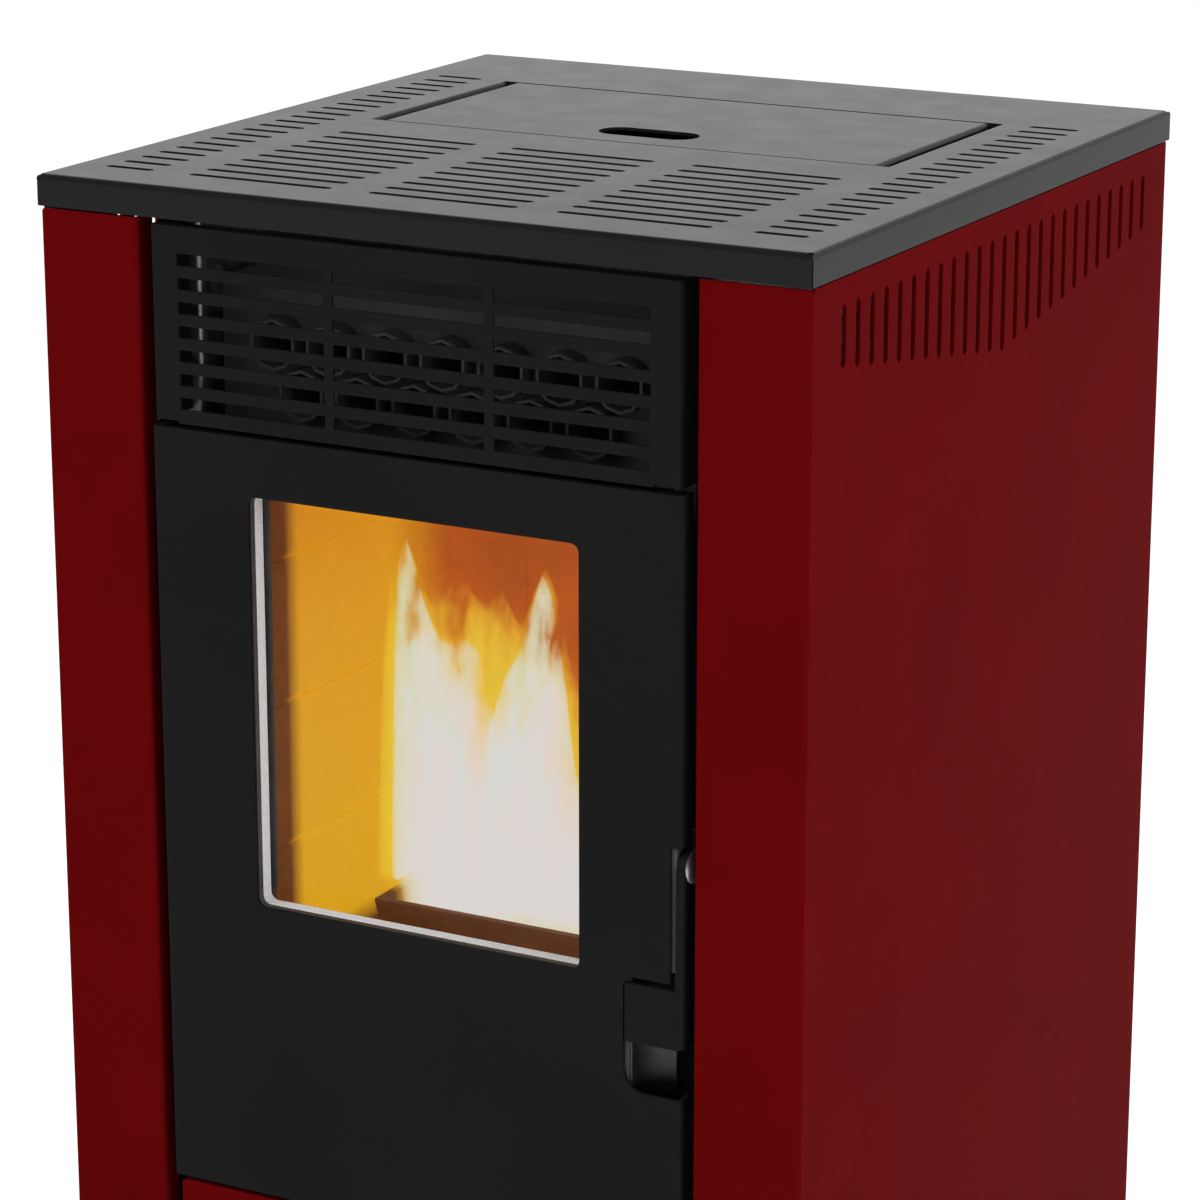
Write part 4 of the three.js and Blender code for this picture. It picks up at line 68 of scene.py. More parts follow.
# Colours are linear values.
BLACK = (0.0098, 0.0098, 0.0102)
RED = (0.098, 0.0016, 0.0022)
ZINC = (0.46, 0.48, 0.50)
PLATED = (0.62, 0.63, 0.65)
DULL_DARK = (0.075, 0.075, 0.078)
DULL_LIGHT = (0.40, 0.41, 0.42)
ALUMINIUM = (0.50, 0.51, 0.53)
STEEL = (0.055, 0.052, 0.050)
SOOTED_STEEL = (0.020, 0.019, 0.018)
BROWNED_STEEL = (0.085, 0.062, 0.045)
CAST = (0.030, 0.024, 0.020)
CAST_MARKS = (
    (0.35, (0.016, 0.011, 0.009)), (0.55, (0.060, 0.028, 0.014)), (0.75, (0.11, 0.055, 0.025)),
)
BOARD = (0.10, 0.045, 0.006)
GASKET = (0.84, 0.86, 0.88)
ROPE = (0.10, 0.10, 0.10)
RUBBER = (0.012, 0.012, 0.012)
PLASTIC = (0.014, 0.014, 0.015)
LACQUER = (0.012, 0.10, 0.035)
TRACKS = ((0.03, (0.03, 0.22, 0.08)), (0.12, (0.010, 0.075, 0.028)))

# The fire's glow on the boards: amber on the sides, dull orange on the back, black near the door.
SIDE_GLOW = ((0.10, (0.64, 0.335, 0.008)), (0.60, (0.62, 0.285, 0.006)), (1.0, (0.55, 0.170, 0.002)))
BACK_GLOW = ((0.35, (0.52, 0.150, 0.004)), (0.66, (0.38, 0.062, 0.002)), (0.95, (0.22, 0.025, 0.001)))
GLOW_SHADED = (0.085, 0.020, 0.004)
GLOW_FLOOR = 0.402  # the boards are in painted shade below this height
GLOW_FRONT = -0.186  # and in the door frame's shade in front of this
GLOW_FADE = 0.014
GLOW_CORNER = 0.040  # width over which the side's glow turns into the back's
POT_GLOW = (0.070, 0.019, 0.002)

# Fire colours: what a thick layer of it shows, and how much of red, green and blue a thin one hides.
HEART = (0.61, 0.735, 0.80)
HEART_VEIL = (1.0, 0.80, 0.45)
SKIRT = (0.78, 0.58, 0.10)
SKIRT_VEIL = (1.0, 0.55, 0.14)
EMBER = (0.03, 0.015, 0.010)
EMBER_GLOW = ((0.35, (0.10, 0.012, 0.002)), (0.55, (0.75, 0.18, 0.02)), (0.75, (0.90, 0.55, 0.12)))

# The fire's outline from the front: x and height above the pot's rim.
SKIRT_CREST = (
    (-0.109, 0.010), (-0.107, 0.060), (-0.106, 0.110), (-0.104, 0.160), (-0.100, 0.196),
    (-0.094, 0.214), (-0.086, 0.200), (-0.079, 0.178), (-0.070, 0.186), (-0.056, 0.194),
    (-0.043, 0.184), (-0.029, 0.192), (-0.020, 0.174), (-0.011, 0.176), (-0.004, 0.196),
    (0.002, 0.208), (0.008, 0.182), (0.012, 0.152), (0.017, 0.152), (0.022, 0.126),
    (0.030, 0.112), (0.040, 0.152), (0.047, 0.128), (0.058, 0.104), (0.068, 0.118),
    (0.076, 0.070), (0.084, 0.020), (0.090, -0.020),
)
HEART_CREST = (
    (-0.101, 0.010), (-0.0985, 0.080), (-0.0975, 0.150), (-0.0965, 0.196), (-0.0935, 0.216),
    (-0.089, 0.206), (-0.083, 0.182), (-0.074, 0.160), (-0.062, 0.156), (-0.052, 0.160),
    (-0.043, 0.150), (-0.039, 0.116), (-0.033, 0.110), (-0.025, 0.140), (-0.015, 0.156),
    (-0.007, 0.184), (0.001, 0.206), (0.006, 0.174), (0.012, 0.112), (0.018, 0.086),
    (0.030, 0.074), (0.040, 0.122), (0.048, 0.084), (0.060, 0.064), (0.068, 0.080),
    (0.074, 0.030), (0.080, -0.020),
)
SKIRT_DEPTH = 0.034  # half of each flame's thickness
HEART_DEPTH = 0.026
FIRE_DROP = 0.030  # the fire and the pellets start this far below the rim
FLAME_GAP = 0.004  # kept between a flame and the pot's walls and rim
FLAME_EDGE = 0.0004  # half thickness left at a flame's edge
FLAME_LEAST = 0.001  # least height of a flame
FLAME_BLUNTNESS = 0.3
FLAME_COLUMNS, FLAME_ROWS = 72, 14

PELLETS = 150
PELLET = 0.003  # radius
PELLET_LENGTH = 0.014
PELLET_SIDES = 8
GOLDEN_ANGLE = 2.39996
BED_INSET = (0.020, 0.016)  # from the pot's outside along X and Y
BED_HEAP = 0.014
BED_UNEVEN = 0.004

GLASS_IOR = 1.08
OWN_FINISH = {
    "top_plate": "top_paint",
    "hopper_lid": "top_paint",
    "finger_cup": "cup_steel",
    "handle_pivot_pin": "pin_steel",
}
EDGE_RADIUS = 0.0004
EDGE_ANGLE = 50  # degrees from which an edge is rounded
CREASE_ANGLE = 40  # degrees from which the shading breaks
WELD_REACH = 0.00001

INLET_FLANGE = 0.003
REAR_SCREWS = (
    *((x, z) for x in (-0.212, 0.212) for z in (0.070, 0.262, 0.454, 0.646, 0.838)),
    (-0.072, 0.838), (0.072, 0.838),
)
SCREW_HEAD = (0.0042, 0.0020)  # radius and height
POT_RIVETS = (-0.0773, -0.0450)
RIVET_HEAD = (0.0024, 0.0012)
RIVET_DROP = 0.0085  # below the rim
RIVET_INSET = 0.0012  # the pot's wall leans, and lies this far behind its foremost point
RIVET_LEAN = (0, -1, -0.14)
HEAD_SIDES, HEAD_RINGS = 20, 5
HEAD_TIP = 0.0001  # radius left at the top of a head
HEAD_SUNK = 0.0005


# ------------------------------------------------------------------ node helpers
class Recipe:
    """A material under construction: its node tree, shader and a few shorthand calls."""

    def __init__(self, name, color, roughness, metallic=0.0):
        self.material = bpy.data.materials.new(name)
        self.material.use_nodes = True
        self.tree = self.material.node_tree
        self.shader = self.tree.nodes["Principled BSDF"]
        self.shader.inputs["Base Color"].default_value = (*color, 1.0)
        self.shader.inputs["Roughness"].default_value = roughness
        self.shader.inputs["Metallic"].default_value = metallic
        self.place = self.tree.nodes.new("ShaderNodeTexCoord")

    def link(self, output, socket):
        self.tree.links.new(output, socket)

    def noise(self, scale, detail=3.0, roughness=0.5, stretch=None):
        node = self.tree.nodes.new("ShaderNodeTexNoise")
        node.inputs["Scale"].default_value = scale
        node.inputs["Detail"].default_value = detail
        node.inputs["Roughness"].default_value = roughness
        if stretch is None:
            self.link(self.place.outputs["Object"], node.inputs["Vector"])
        else:
            mapping = self.tree.nodes.new("ShaderNodeMapping")
            mapping.inputs["Scale"].default_value = stretch
            self.link(self.place.outputs["Object"], mapping.inputs["Vector"])
            self.link(mapping.outputs["Vector"], node.inputs["Vector"])
        return node.outputs["Fac"]

    def cells(self, scale, feature="F1"):
        node = self.tree.nodes.new("ShaderNodeTexVoronoi")
        node.inputs["Scale"].default_value = scale
        node.feature = feature
        self.link(self.place.outputs["Object"], node.inputs["Vector"])
        return node.outputs

    def ramp(self, value, *stops):
        """Colour ramp through (position, colour) stops."""
        node = self.tree.nodes.new("ShaderNodeValToRGB")
        marks = node.color_ramp.elements
        while len(marks) < len(stops):
            marks.new(0.5)
        for mark, (position, color) in zip(marks, stops):
            mark.position = position
            mark.color = (*color, 1.0)
        self.link(value, node.inputs["Fac"])
        return node.outputs["Color"]

    def span(self, value, low, high, lowest=0.0, highest=1.0):
        """The value with lowest..highest stretched to low..high."""
        node = self.tree.nodes.new("ShaderNodeMapRange")
        node.inputs["From Min"].default_value = lowest
        node.inputs["From Max"].default_value = highest
        node.inputs["To Min"].default_value = low
        node.inputs["To Max"].default_value = high
        self.link(value, node.inputs["Value"])
        return node.outputs["Result"]

    def math(self, operation, first, second):
        node = self.tree.nodes.new("ShaderNodeMath")
        node.operation = operation
        for socket, value in zip(node.inputs, (first, second)):
            if isinstance(value, (int, float)):
                socket.default_value = value
            else:
                self.link(value, socket)
        return node.outputs["Value"]

    def blend(self, share, first, second):
        """The first colour where the share is 0 and the second where it is 1."""
        node = self.tree.nodes.new("ShaderNodeMix")
        node.data_type = "RGBA"
        self.link(share, node.inputs["Factor"])
        for socket, color in ((node.inputs["A"], first), (node.inputs["B"], second)):
            if isinstance(color, tuple):
                socket.default_value = (*color, 1.0)
            else:
                self.link(color, socket)
        return node.outputs["Result"]

    def axis(self, name):
        """One coordinate of the shaded point."""
        node = self.tree.nodes.new("ShaderNodeSeparateXYZ")
        self.link(self.place.outputs["Object"], node.inputs["Vector"])
        return node.outputs[name]

    def vary(self, color, amount, value):
        """Base colour that swings by a share of itself with the value."""
        dark = tuple(channel * (1 - amount) for channel in color)
        light = tuple(channel * (1 + amount) for channel in color)
        self.link(self.ramp(value, (0.3, dark), (0.7, light)), self.shader.inputs["Base Color"])

    def rough(self, value, low, high):
        self.link(self.span(value, low, high), self.shader.inputs["Roughness"])

    def bump(self, value, strength, distance):
        node = self.tree.nodes.new("ShaderNodeBump")
        node.inputs["Strength"].default_value = strength
        node.inputs["Distance"].default_value = distance
        self.link(value, node.inputs["Height"])
        self.link(node.outputs["Normal"], self.shader.inputs["Normal"])


# ------------------------------------------------------------------ finishes
def powder_coat(name, color, low, high, grain, depth, shine):
    """Sprayed paint: orange-peel bump, a slow drift of gloss and a faint drift of colour."""
    paint = Recipe(name, color, low)
    paint.shader.inputs["Specular IOR Level"].default_value = shine
    drift = paint.noise(9.0, detail=4.0)
    paint.vary(color, 0.07, drift)
    paint.rough(paint.noise(35.0, detail=2.0), low, high)
    paint.bump(paint.noise(grain, detail=1.5), depth, 0.0004)
    return paint


def metal(name, color, low, high, stretch):
    """Bare or plated metal with marks along one direction."""
    sheet = Recipe(name, color, low, metallic=1.0)
    streak = sheet.noise(60.0, detail=5.0, stretch=stretch)
    sheet.vary(color, 0.18, streak)
    sheet.rough(streak, low, high)
    sheet.bump(streak, 0.12, 0.0003)
    return sheet


def spangled(name):
    """Galvanised sheet with its crystal pattern."""
    sheet = Recipe(name, ZINC, 0.35, metallic=1.0)
    crystals = sheet.cells(90.0)
    sheet.vary(ZINC, 0.22, crystals["Color"])
    sheet.rough(crystals["Color"], 0.28, 0.52)
    sheet.bump(crystals["Distance"], 0.08, 0.0004)
    return sheet


def heat_steel(name):
    """Heat-proof black paint that has dulled and browned with use."""
    steel = Recipe(name, STEEL, 0.6)
    soot = steel.noise(22.0, detail=6.0, roughness=0.65)
    steel.link(
        steel.ramp(soot, (0.3, SOOTED_STEEL), (0.6, STEEL), (0.8, BROWNED_STEEL)),
        steel.shader.inputs["Base Color"],
    )
    steel.rough(soot, 0.48, 0.75)
    steel.bump(steel.noise(420.0, detail=2.0), 0.15, 0.0004)
    return steel


def cast_iron(name):
    """Sand-cast iron, scaled and rusted by the heat, with the fire's glow on it."""
    iron = Recipe(name, CAST, 0.8)
    scale = iron.noise(45.0, detail=8.0, roughness=0.7)
    iron.link(iron.ramp(scale, *CAST_MARKS), iron.shader.inputs["Base Color"])
    iron.rough(scale, 0.7, 0.95)
    iron.shader.inputs["Emission Color"].default_value = (*POT_GLOW, 1.0)
    iron.shader.inputs["Emission Strength"].default_value = 1.0
    iron.bump(iron.noise(260.0, detail=6.0, roughness=0.7), 0.6, 0.0012)
    return iron


def braided(name, color, pitch, depth):
    """Rope or tape woven from strands: two crossing waves and loose fibres."""
    weave = Recipe(name, color, 0.95)
    fibres = weave.noise(900.0, detail=4.0)
    waves = []
    for turn in (0.7, -0.7):
        mapping = weave.tree.nodes.new("ShaderNodeMapping")
        mapping.inputs["Rotation"].default_value = (0.0, turn, 0.0)
        weave.link(weave.place.outputs["Object"], mapping.inputs["Vector"])
        wave = weave.tree.nodes.new("ShaderNodeTexWave")
        wave.inputs["Scale"].default_value = pitch
        wave.inputs["Distortion"].default_value = 0.6
        weave.link(mapping.outputs["Vector"], wave.inputs["Vector"])
        waves.append(wave.outputs["Fac"])
    strands = weave.math("MAXIMUM", *waves)
    weave.vary(color, 0.25, weave.math("MULTIPLY", strands, fibres))
    weave.bump(strands, depth, 0.0010)
    return weave


def fire_board(name):
    """Vermiculite with mica flecks, under the fire's glow.

    The glow reddens upwards, turns duller from the sides to the back and ends near the door.
    """
    board = Recipe(name, BOARD, 0.95)
    flecks = board.cells(240.0)
    soot = board.noise(11.0, detail=5.0, roughness=0.6)
    board.vary(BOARD, 0.15, flecks["Color"])
    board.bump(flecks["Distance"], 0.12, 0.0008)
    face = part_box("left_liner")[1][0]
    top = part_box("back_liner")[1][2]
    height = board.span(board.axis("Z"), 0.0, 1.0, GLOW_FLOOR, top)
    # painted light: the soot noise only makes the back board's painted glow patchy
    drift = board.math("ADD", height, board.span(soot, -0.25, 0.25, 0.2, 0.8))
    side = board.ramp(height, *SIDE_GLOW)
    back = board.ramp(drift, *BACK_GLOW)
    inward = board.span(board.axis("X"), 0.0, 1.0, face, face + GLOW_CORNER)
    from_door = board.span(board.axis("Y"), 0.0, 1.0, GLOW_FRONT, GLOW_FRONT + GLOW_FADE)
    from_floor = board.span(board.axis("Z"), 0.0, 1.0, GLOW_FLOOR, GLOW_FLOOR + GLOW_FADE)
    glow = board.blend(inward, side, back)
    lit = board.blend(board.math("MULTIPLY", from_door, from_floor), GLOW_SHADED, glow)
    board.link(lit, board.shader.inputs["Emission Color"])
    board.shader.inputs["Emission Strength"].default_value = 1.0
    return board


def clear_glass(name):
    """Ceramic glass with a faint smear."""
    glass = Recipe(name, WHITE, 0.02)
    glass.shader.inputs["Transmission Weight"].default_value = 1.0
    glass.shader.inputs["IOR"].default_value = GLASS_IOR
    smear = glass.noise(6.0, detail=5.0)
    glass.rough(smear, 0.0, 0.05)
    return glass


def moulded(name, color, low, high):
    """Moulded rubber or plastic with a fine grain."""
    plastic = Recipe(name, color, low)
    plastic.rough(plastic.noise(80.0), low, high)
    plastic.vary(color, 0.12, plastic.noise(25.0))
    plastic.bump(plastic.noise(1400.0, detail=1.0), 0.08, 0.0002)
    return plastic


def circuit(name):
    """Lacquered board with lighter tracks."""
    board = Recipe(name, LACQUER, 0.35)
    tracks = board.cells(160.0, feature="DISTANCE_TO_EDGE")
    board.link(board.ramp(tracks["Distance"], *TRACKS), board.shader.inputs["Base Color"])
    return board


finishes = {
    "black_paint": powder_coat(
        "black_paint", BLACK, low=0.34, high=0.44, grain=1100.0, depth=0.10, shine=0.012
    ),
    "top_paint": powder_coat(
        "top_paint", BLACK, low=0.20, high=0.30, grain=1100.0, depth=0.10, shine=0.10
    ),
    "red_paint": powder_coat(
        "red_paint", RED, low=0.22, high=0.30, grain=900.0, depth=0.06, shine=0.002
    ),
    "galvanised": spangled("galvanised"),
    "stove_steel": heat_steel("stove_steel"),
    "cast_iron": cast_iron("cast_iron"),
    "vermiculite": fire_board("vermiculite"),
    "zinc_steel": metal("zinc_steel", PLATED, low=0.18, high=0.34, stretch=(1.0, 1.0, 8.0)),
    "cup_steel": metal("cup_steel", DULL_DARK, low=0.50, high=0.62, stretch=(1.0, 1.0, 4.0)),
    "pin_steel": metal("pin_steel", DULL_LIGHT, low=0.45, high=0.58, stretch=(1.0, 1.0, 4.0)),
    "aluminium": metal("aluminium", ALUMINIUM, low=0.35, high=0.5, stretch=(6.0, 1.0, 1.0)),
    "ceramic_glass": clear_glass("ceramic_glass"),
    "white_fibre": braided("white_fibre", GASKET, pitch=420.0, depth=0.35),
    "grey_rope": braided("grey_rope", ROPE, pitch=300.0, depth=0.8),
    "rubber": moulded("rubber", RUBBER, low=0.7, high=0.9),
    "black_plastic": moulded("black_plastic", PLASTIC, low=0.35, high=0.5),
    "circuit_board": circuit("circuit_board"),
}


# ------------------------------------------------------------------ the CAD nodes
def dress(node, finish):
    """Gives a CAD node its finish, softens its edges and rounds the shading of its curved faces."""
    obj = nodes[node]
    obj.data.materials.clear()
    obj.data.materials.append(finishes[finish].material)
    obj.data.shade_smooth()
    weld = obj.modifiers.new("weld", "WELD")
    weld.merge_threshold = WELD_REACH
    bevel = obj.modifiers.new("soft_edges", "BEVEL")
    bevel.width = EDGE_RADIUS
    bevel.segments = 2
    bevel.limit_method = "ANGLE"
    bevel.angle_limit = math.radians(EDGE_ANGLE)
    split = obj.modifiers.new("sharp_edges", "EDGE_SPLIT")
    split.split_angle = math.radians(CREASE_ANGLE)
    normals = obj.modifiers.new("even_shading", "WEIGHTED_NORMAL")
    normals.keep_sharp = True


for subpart in frame["record"]["subparts"]:
    dress(subpart["node"], subpart["material_slot"])
for node, finish in OWN_FINISH.items():
    nodes[node].material_slots[0].material = finishes[finish].material


# ------------------------------------------------------------------ pieces
def piece(name, mesh, finish, body):
    """Adds a mesh as a visual piece that rides on a body."""
    obj = bpy.data.objects.new(name, mesh)
    bpy.context.collection.objects.link(obj)
    obj.data.materials.append(finish)
    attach(obj, body)


def mesh_from(name, fill, smooth=True):
    """A mesh filled in by a function that gets an empty bmesh."""
    shape = bmesh.new()
    fill(shape)
    bmesh.ops.recalc_face_normals(shape, faces=shape.faces)
    mesh = bpy.data.meshes.new(name)
    shape.to_mesh(mesh)
    shape.free()
    for polygon in mesh.polygons:
        polygon.use_smooth = smooth
    return mesh


pot_low, pot_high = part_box("burn_pot")
pot_middle = (pot_low[1] + pot_high[1]) / 2
rim = pot_high[2]
fire_low = rim - FIRE_DROP


def crest_at(crest, x):
    """Height of a crest line at x."""
    for (x0, z0), (x1, z1) in zip(crest, crest[1:]):
        if x <= x1:
            return z0 + (z1 - z0) * (x - x0) / (x1 - x0)
    return crest[-1][1]


def burning_gas(name, crest, depth, source, veil, thickest, fade, sway, ragged):
    """Fire as a volume that thins towards its crest and faces and is torn into rising strands."""
    fire = Recipe(name, (0.0, 0.0, 0.0), 1.0)
    fire.tree.nodes.remove(fire.shader)
    left, right = crest[0][0], crest[-1][0]
    top = rim + max(height for _, height in crest)
    share = fire.span(fire.axis("Z"), 0.0, 1.0, rim, top)
    lean = fire.span(fire.noise(26.0, detail=4.0, stretch=(1.0, 1.0, 0.45)), -sway, sway, 0.3, 0.7)
    place = fire.math("ADD", fire.axis("X"), fire.math("MULTIPLY", lean, share))
    stops = []
    for x, height in crest:
        level = (rim + height - fire_low) / (top - fire_low)
        stops.append(((x - left) / (right - left), (level, level, level)))
    edge = fire.span(fire.ramp(fire.span(place, 0.0, 1.0, left, right), *stops), fire_low, top)
    under = fire.math("DIVIDE", fire.math("SUBTRACT", edge, fire.axis("Z")), fade)
    across = fire.span(fire.axis("Y"), -1.0, 1.0, pot_middle - depth, pot_middle + depth)
    body = fire.math("SUBTRACT", fire.math("MINIMUM", under, 1.0), fire.math("MULTIPLY", across, across))
    strands = fire.noise(75.0, detail=3.0, roughness=0.6, stretch=(1.0, 1.0, 0.28))
    torn = fire.math("MULTIPLY", fire.span(strands, -ragged, ragged, 0.36, 0.64), share)
    density = fire.span(fire.math("ADD", body, torn), 0.0, thickest)
    absorb = fire.tree.nodes.new("ShaderNodeVolumeAbsorption")
    absorb.inputs["Color"].default_value = (*(1.0 - part for part in veil), 1.0)
    glow = fire.tree.nodes.new("ShaderNodeEmission")
    glow.inputs["Color"].default_value = (*(part * light for part, light in zip(veil, source)), 1.0)
    fire.link(density, absorb.inputs["Density"])
    fire.link(density, glow.inputs["Strength"])
    both = fire.tree.nodes.new("ShaderNodeAddShader")
    fire.link(absorb.outputs["Volume"], both.inputs[0])
    fire.link(glow.outputs["Emission"], both.inputs[1])
    fire.link(both.outputs["Shader"], fire.tree.nodes["Material Output"].inputs["Volume"])
    fire.material.cycles.volume_step_rate = 0.3
    return fire.material


def flame(name, crest, depth, gas):
    """A thin closed lens of gas under its crest line. It stands clear of the pot's walls and rim."""

    def fill(shape):
        left, right = crest[0][0], crest[-1][0]
        sheets = []
        for face in (-1, 1):
            sheet = []
            for i in range(FLAME_COLUMNS + 1):
                x = left + (right - left) * i / FLAME_COLUMNS
                top = rim + crest_at(crest, x)
                end = math.sin(math.pi * i / FLAME_COLUMNS) ** FLAME_BLUNTNESS
                inside = pot_low[0] + FLAME_GAP < x < pot_high[0] - FLAME_GAP
                foot = fire_low if inside else rim + FLAME_GAP
                column = []
                for j in range(FLAME_ROWS + 1):
                    share = j / FLAME_ROWS
                    swell = depth * end * math.sqrt(1 - share * share) + FLAME_EDGE
                    z = foot + (max(top, foot + FLAME_LEAST) - foot) * share
                    column.append(shape.verts.new((x, pot_middle + face * swell, z)))
                sheet.append(column)
            sheets.append(sheet)
            for one, two in zip(sheet, sheet[1:]):
                for j in range(FLAME_ROWS):
                    shape.faces.new((one[j], two[j], two[j + 1], one[j + 1]))
        front, back = sheets
        for i in range(FLAME_COLUMNS):
            for j in (0, FLAME_ROWS):
                shape.faces.new((front[i][j], front[i + 1][j], back[i + 1][j], back[i][j]))
        for j in range(FLAME_ROWS):
            for i in (0, FLAME_COLUMNS):
                shape.faces.new((front[i][j], front[i][j + 1], back[i][j + 1], back[i][j]))

    piece(name, mesh_from(name, fill), gas, "pot")


def pellet_bed():
    """Glowing pellets heaped in the pot, laid out by a golden-angle spiral."""

    def fill(shape):
        reach_x = (pot_high[0] - pot_low[0]) / 2 - BED_INSET[0]
        reach_y = (pot_high[1] - pot_low[1]) / 2 - BED_INSET[1]
        for i in range(PELLETS):
            spread = math.sqrt((i + 0.5) / PELLETS)
            angle = i * GOLDEN_ANGLE
            x = reach_x * spread * math.cos(angle)
            y = pot_middle + reach_y * spread * math.sin(angle)
            z = fire_low + BED_HEAP * (1 - spread * spread) + BED_UNEVEN * math.sin(5.0 * i)
            lie = Vector((math.cos(1.7 * i), math.sin(1.7 * i), 0.35 * math.sin(2.3 * i))).normalized()
            across = lie.orthogonal().normalized()
            up = lie.cross(across)
            ends = []
            for end in (-1, 1):
                middle = Vector((x, y, z)) + lie * end * PELLET_LENGTH / 2
                ring = []
                for j in range(PELLET_SIDES):
                    turn = 2 * math.pi * j / PELLET_SIDES
                    outward = across * math.cos(turn) + up * math.sin(turn)
                    ring.append(shape.verts.new(middle + PELLET * outward))
                ends.append(ring)
            for j in range(PELLET_SIDES):
                k = (j + 1) % PELLET_SIDES
                shape.faces.new((ends[0][j], ends[0][k], ends[1][k], ends[1][j]))
            shape.faces.new(list(reversed(ends[0])))
            shape.faces.new(ends[1])

    coal = Recipe("embers", EMBER, 0.9)
    heat = coal.noise(60.0, detail=4.0)
    coal.link(coal.ramp(heat, *EMBER_GLOW), coal.shader.inputs["Emission Color"])
    coal.shader.inputs["Emission Strength"].default_value = 1.0
    piece("pellet_bed", mesh_from("pellet_bed", fill, smooth=False), coal.material, "pot")


def dome(name, place, outward, head, finish, body):
    """A rivet's or screw's low round head, sunk a little into what it sits on."""
    outward = Vector(outward).normalized()
    across = outward.orthogonal().normalized()
    up = outward.cross(across)
    middle = Vector(place)
    radius, height = head

    def fill(shape):
        loops = []
        for i in range(HEAD_RINGS):
            turn = math.pi / 2 * i / (HEAD_RINGS - 1)
            reach, lift = radius * math.cos(turn) + HEAD_TIP, height * math.sin(turn)
            loop = []
            for j in range(HEAD_SIDES):
                angle = 2 * math.pi * j / HEAD_SIDES
                spot = middle + outward * lift + reach * (across * math.cos(angle) + up * math.sin(angle))
                loop.append(shape.verts.new(spot))
            loops.append(loop)
        base = [shape.verts.new(vertex.co - outward * HEAD_SUNK) for vertex in loops[0]]
        for lower, upper in zip([base, *loops], loops):
            for j in range(HEAD_SIDES):
                k = (j + 1) % HEAD_SIDES
                shape.faces.new((lower[j], lower[k], upper[k], upper[j]))
        shape.faces.new(list(reversed(base)))
        shape.faces.new(loops[-1])

    piece(name, mesh_from(name, fill), finishes[finish].material, body)


skirt_gas = burning_gas(
    "skirt_gas", SKIRT_CREST, SKIRT_DEPTH, SKIRT, SKIRT_VEIL,
    thickest=80.0, fade=0.060, sway=0.020, ragged=1.5,
)
heart_gas = burning_gas(
    "heart_gas", HEART_CREST, HEART_DEPTH, HEART, HEART_VEIL,
    thickest=150.0, fade=0.045, sway=0.016, ragged=1.5,
)
flame("flame_skirt", SKIRT_CREST, SKIRT_DEPTH, skirt_gas)
flame("flame_heart", HEART_CREST, HEART_DEPTH, heart_gas)
pellet_bed()

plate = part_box("power_inlet")[1][1] - INLET_FLANGE
for i, (x, z) in enumerate(REAR_SCREWS):
    dome(f"rear_screw_{i}", (x, plate, z), (0, 1, 0), SCREW_HEAD, "zinc_steel", "casing")
for i, x in enumerate(POT_RIVETS):
    spot = (x, pot_low[1] + RIVET_INSET, rim - RIVET_DROP)
    dome(f"pot_rivet_{i}", spot, RIVET_LEAN, RIVET_HEAD, "cast_iron", "pot")


# ------------------------------------------------------------------ stage and camera
def build_stage():
    """A pale matt floor that shows as white and takes the stove's shadow."""
    half = FLOOR_REACH / 2

    def fill(shape):
        corners = [(-half, -half), (half, -half), (half, half), (-half, half)]
        shape.faces.new([shape.verts.new((x, y, 0.0)) for x, y in corners])

    mesh = mesh_from("floor", fill, smooth=False)
    floor = bpy.data.objects.new("floor", mesh)
    bpy.context.collection.objects.link(floor)
    paint = Recipe("floor_paint", FLOOR_COLOR, 0.9)
    paint.shader.inputs["Specular IOR Level"].default_value = 0.0
    paint.shader.inputs["Emission Color"].default_value = (*WHITE, 1.0)
    path = paint.tree.nodes.new("ShaderNodeLightPath")
    seen = paint.math("MAXIMUM", path.outputs["Is Camera Ray"], path.outputs["Is Glossy Ray"])
    seen = paint.math("MAXIMUM", seen, path.outputs["Is Transmission Ray"])
    paint.link(paint.math("MULTIPLY", seen, FLOOR_LIFT), paint.shader.inputs["Emission Strength"])
    floor.data.materials.append(paint.material)


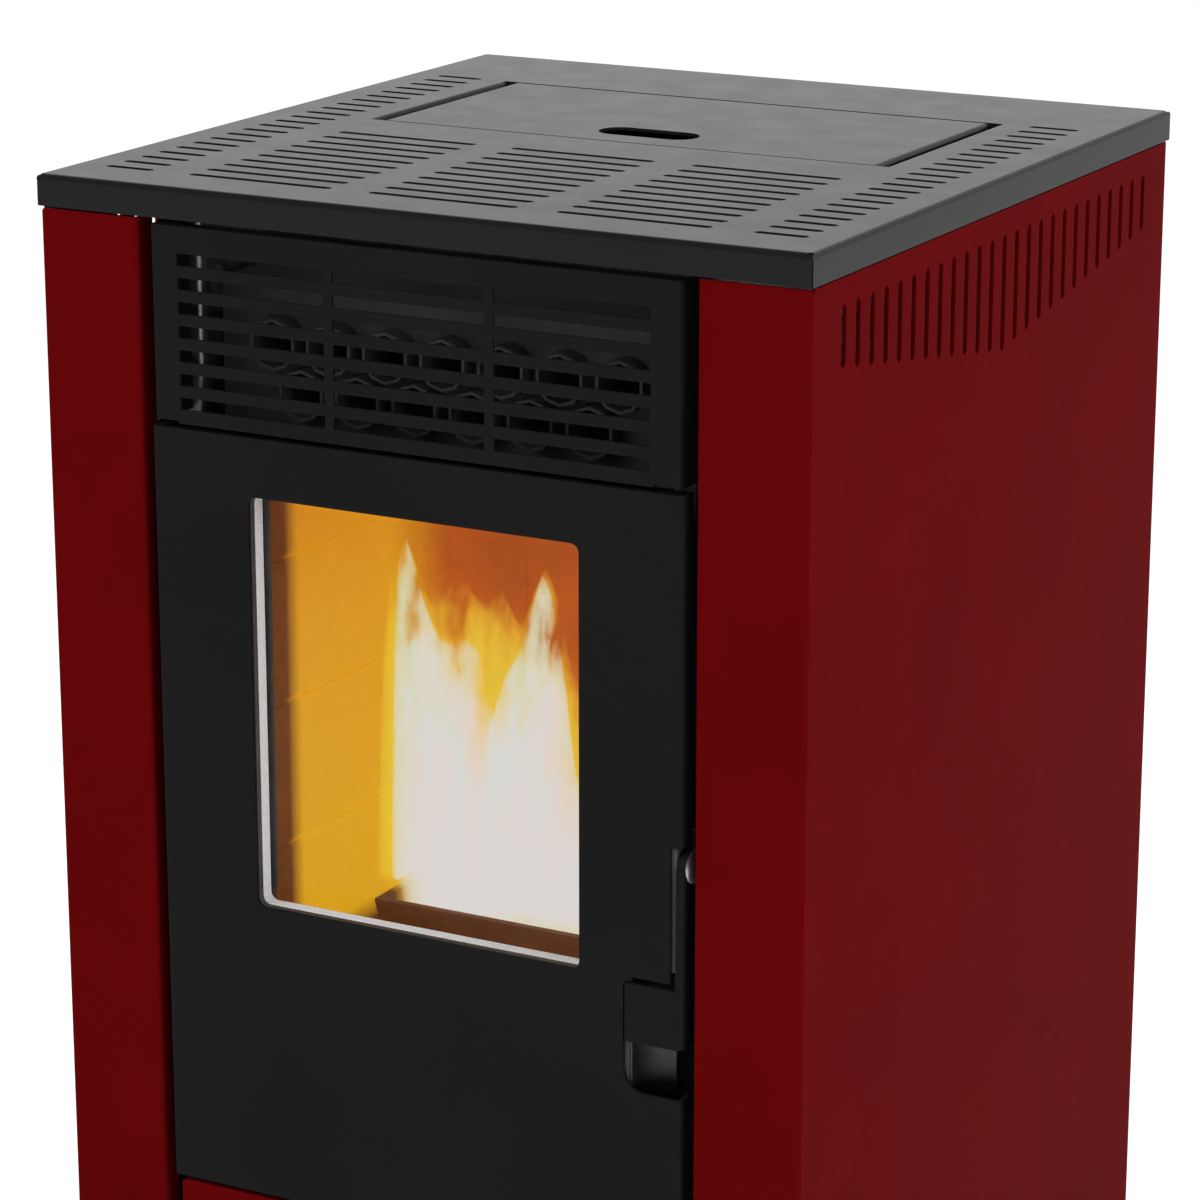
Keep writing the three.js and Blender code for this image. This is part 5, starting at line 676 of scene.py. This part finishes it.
def build_world():
    """White where it is seen, soft light from all round, and a half-dark studio in reflections."""
    world = bpy.data.worlds.new("studio")
    bpy.context.scene.world = world
    world.use_nodes = True
    tree = world.node_tree
    tree.nodes.clear()

    def sky(strength):
        node = tree.nodes.new("ShaderNodeBackground")
        node.inputs["Color"].default_value = (*WHITE, 1.0)
        node.inputs["Strength"].default_value = strength
        return node

    def mix(share, first, second):
        node = tree.nodes.new("ShaderNodeMixShader")
        tree.links.new(share, node.inputs["Fac"])
        tree.links.new(first, node.inputs[1])
        tree.links.new(second, node.inputs[2])
        return node.outputs["Shader"]

    output = tree.nodes.new("ShaderNodeOutputWorld")
    path = tree.nodes.new("ShaderNodeLightPath")
    place = tree.nodes.new("ShaderNodeTexCoord")
    split = tree.nodes.new("ShaderNodeSeparateXYZ")
    tree.links.new(place.outputs["Generated"], split.inputs["Vector"])
    seen, soft, mirrored = sky(1.0), sky(SOFT_FILL), sky(MIRROR_LIGHT)

    # Reflections see the white backdrop behind the stove and the dark studio in front of it.
    back = tree.nodes.new("ShaderNodeMapRange")
    back.interpolation_type = "SMOOTHSTEP"
    back.inputs["From Min"].default_value = MIRROR_FROM
    back.inputs["From Max"].default_value = MIRROR_TO
    back.inputs["To Min"].default_value = MIRROR_DARK
    back.inputs["To Max"].default_value = MIRROR_LIGHT
    tree.links.new(split.outputs["Y"], back.inputs["Value"])
    tree.links.new(back.outputs["Result"], mirrored.inputs["Strength"])

    either = tree.nodes.new("ShaderNodeMath")
    either.operation = "MAXIMUM"
    tree.links.new(path.outputs["Is Camera Ray"], either.inputs[0])
    tree.links.new(path.outputs["Is Transmission Ray"], either.inputs[1])
    unseen = mix(path.outputs["Is Glossy Ray"], soft.outputs["Background"], mirrored.outputs["Background"])
    final = mix(either.outputs["Value"], unseen, seen.outputs["Background"])
    tree.links.new(final, output.inputs["Surface"])


def soft_light(name, place, power):
    """A large square lamp that reflections don't show."""
    data = bpy.data.lights.new(name, "AREA")
    data.shape = "RECTANGLE"
    data.size, data.size_y = LIGHT_SIZE
    data.energy = power
    lamp = bpy.data.objects.new(name, data)
    lamp.location = place
    lamp.rotation_euler = (Vector(LIGHT_TARGET) - Vector(place)).to_track_quat("-Z", "Y").to_euler()
    lamp.visible_glossy = False
    bpy.context.collection.objects.link(lamp)


def build_camera():
    azimuth, pitch = math.radians(CAMERA_AZIMUTH), math.radians(CAMERA_PITCH)
    level = math.cos(pitch)
    heading = Vector((-math.sin(azimuth) * level, math.cos(azimuth) * level, -math.sin(pitch)))
    data = bpy.data.cameras.new("camera")
    data.sensor_width = SENSOR
    data.lens = LENS
    data.clip_end = CLIP_END
    camera = bpy.data.objects.new("camera", data)
    camera.location = CAMERA_PLACE
    camera.rotation_euler = heading.to_track_quat("-Z", "Y").to_euler()
    bpy.context.collection.objects.link(camera)
    bpy.context.scene.camera = camera


build_stage()
build_world()
build_camera()
soft_light("key", KEY_PLACE, KEY_POWER)
soft_light("side", SIDE_PLACE, SIDE_POWER)
bpy.context.scene.view_settings.view_transform = "Standard"
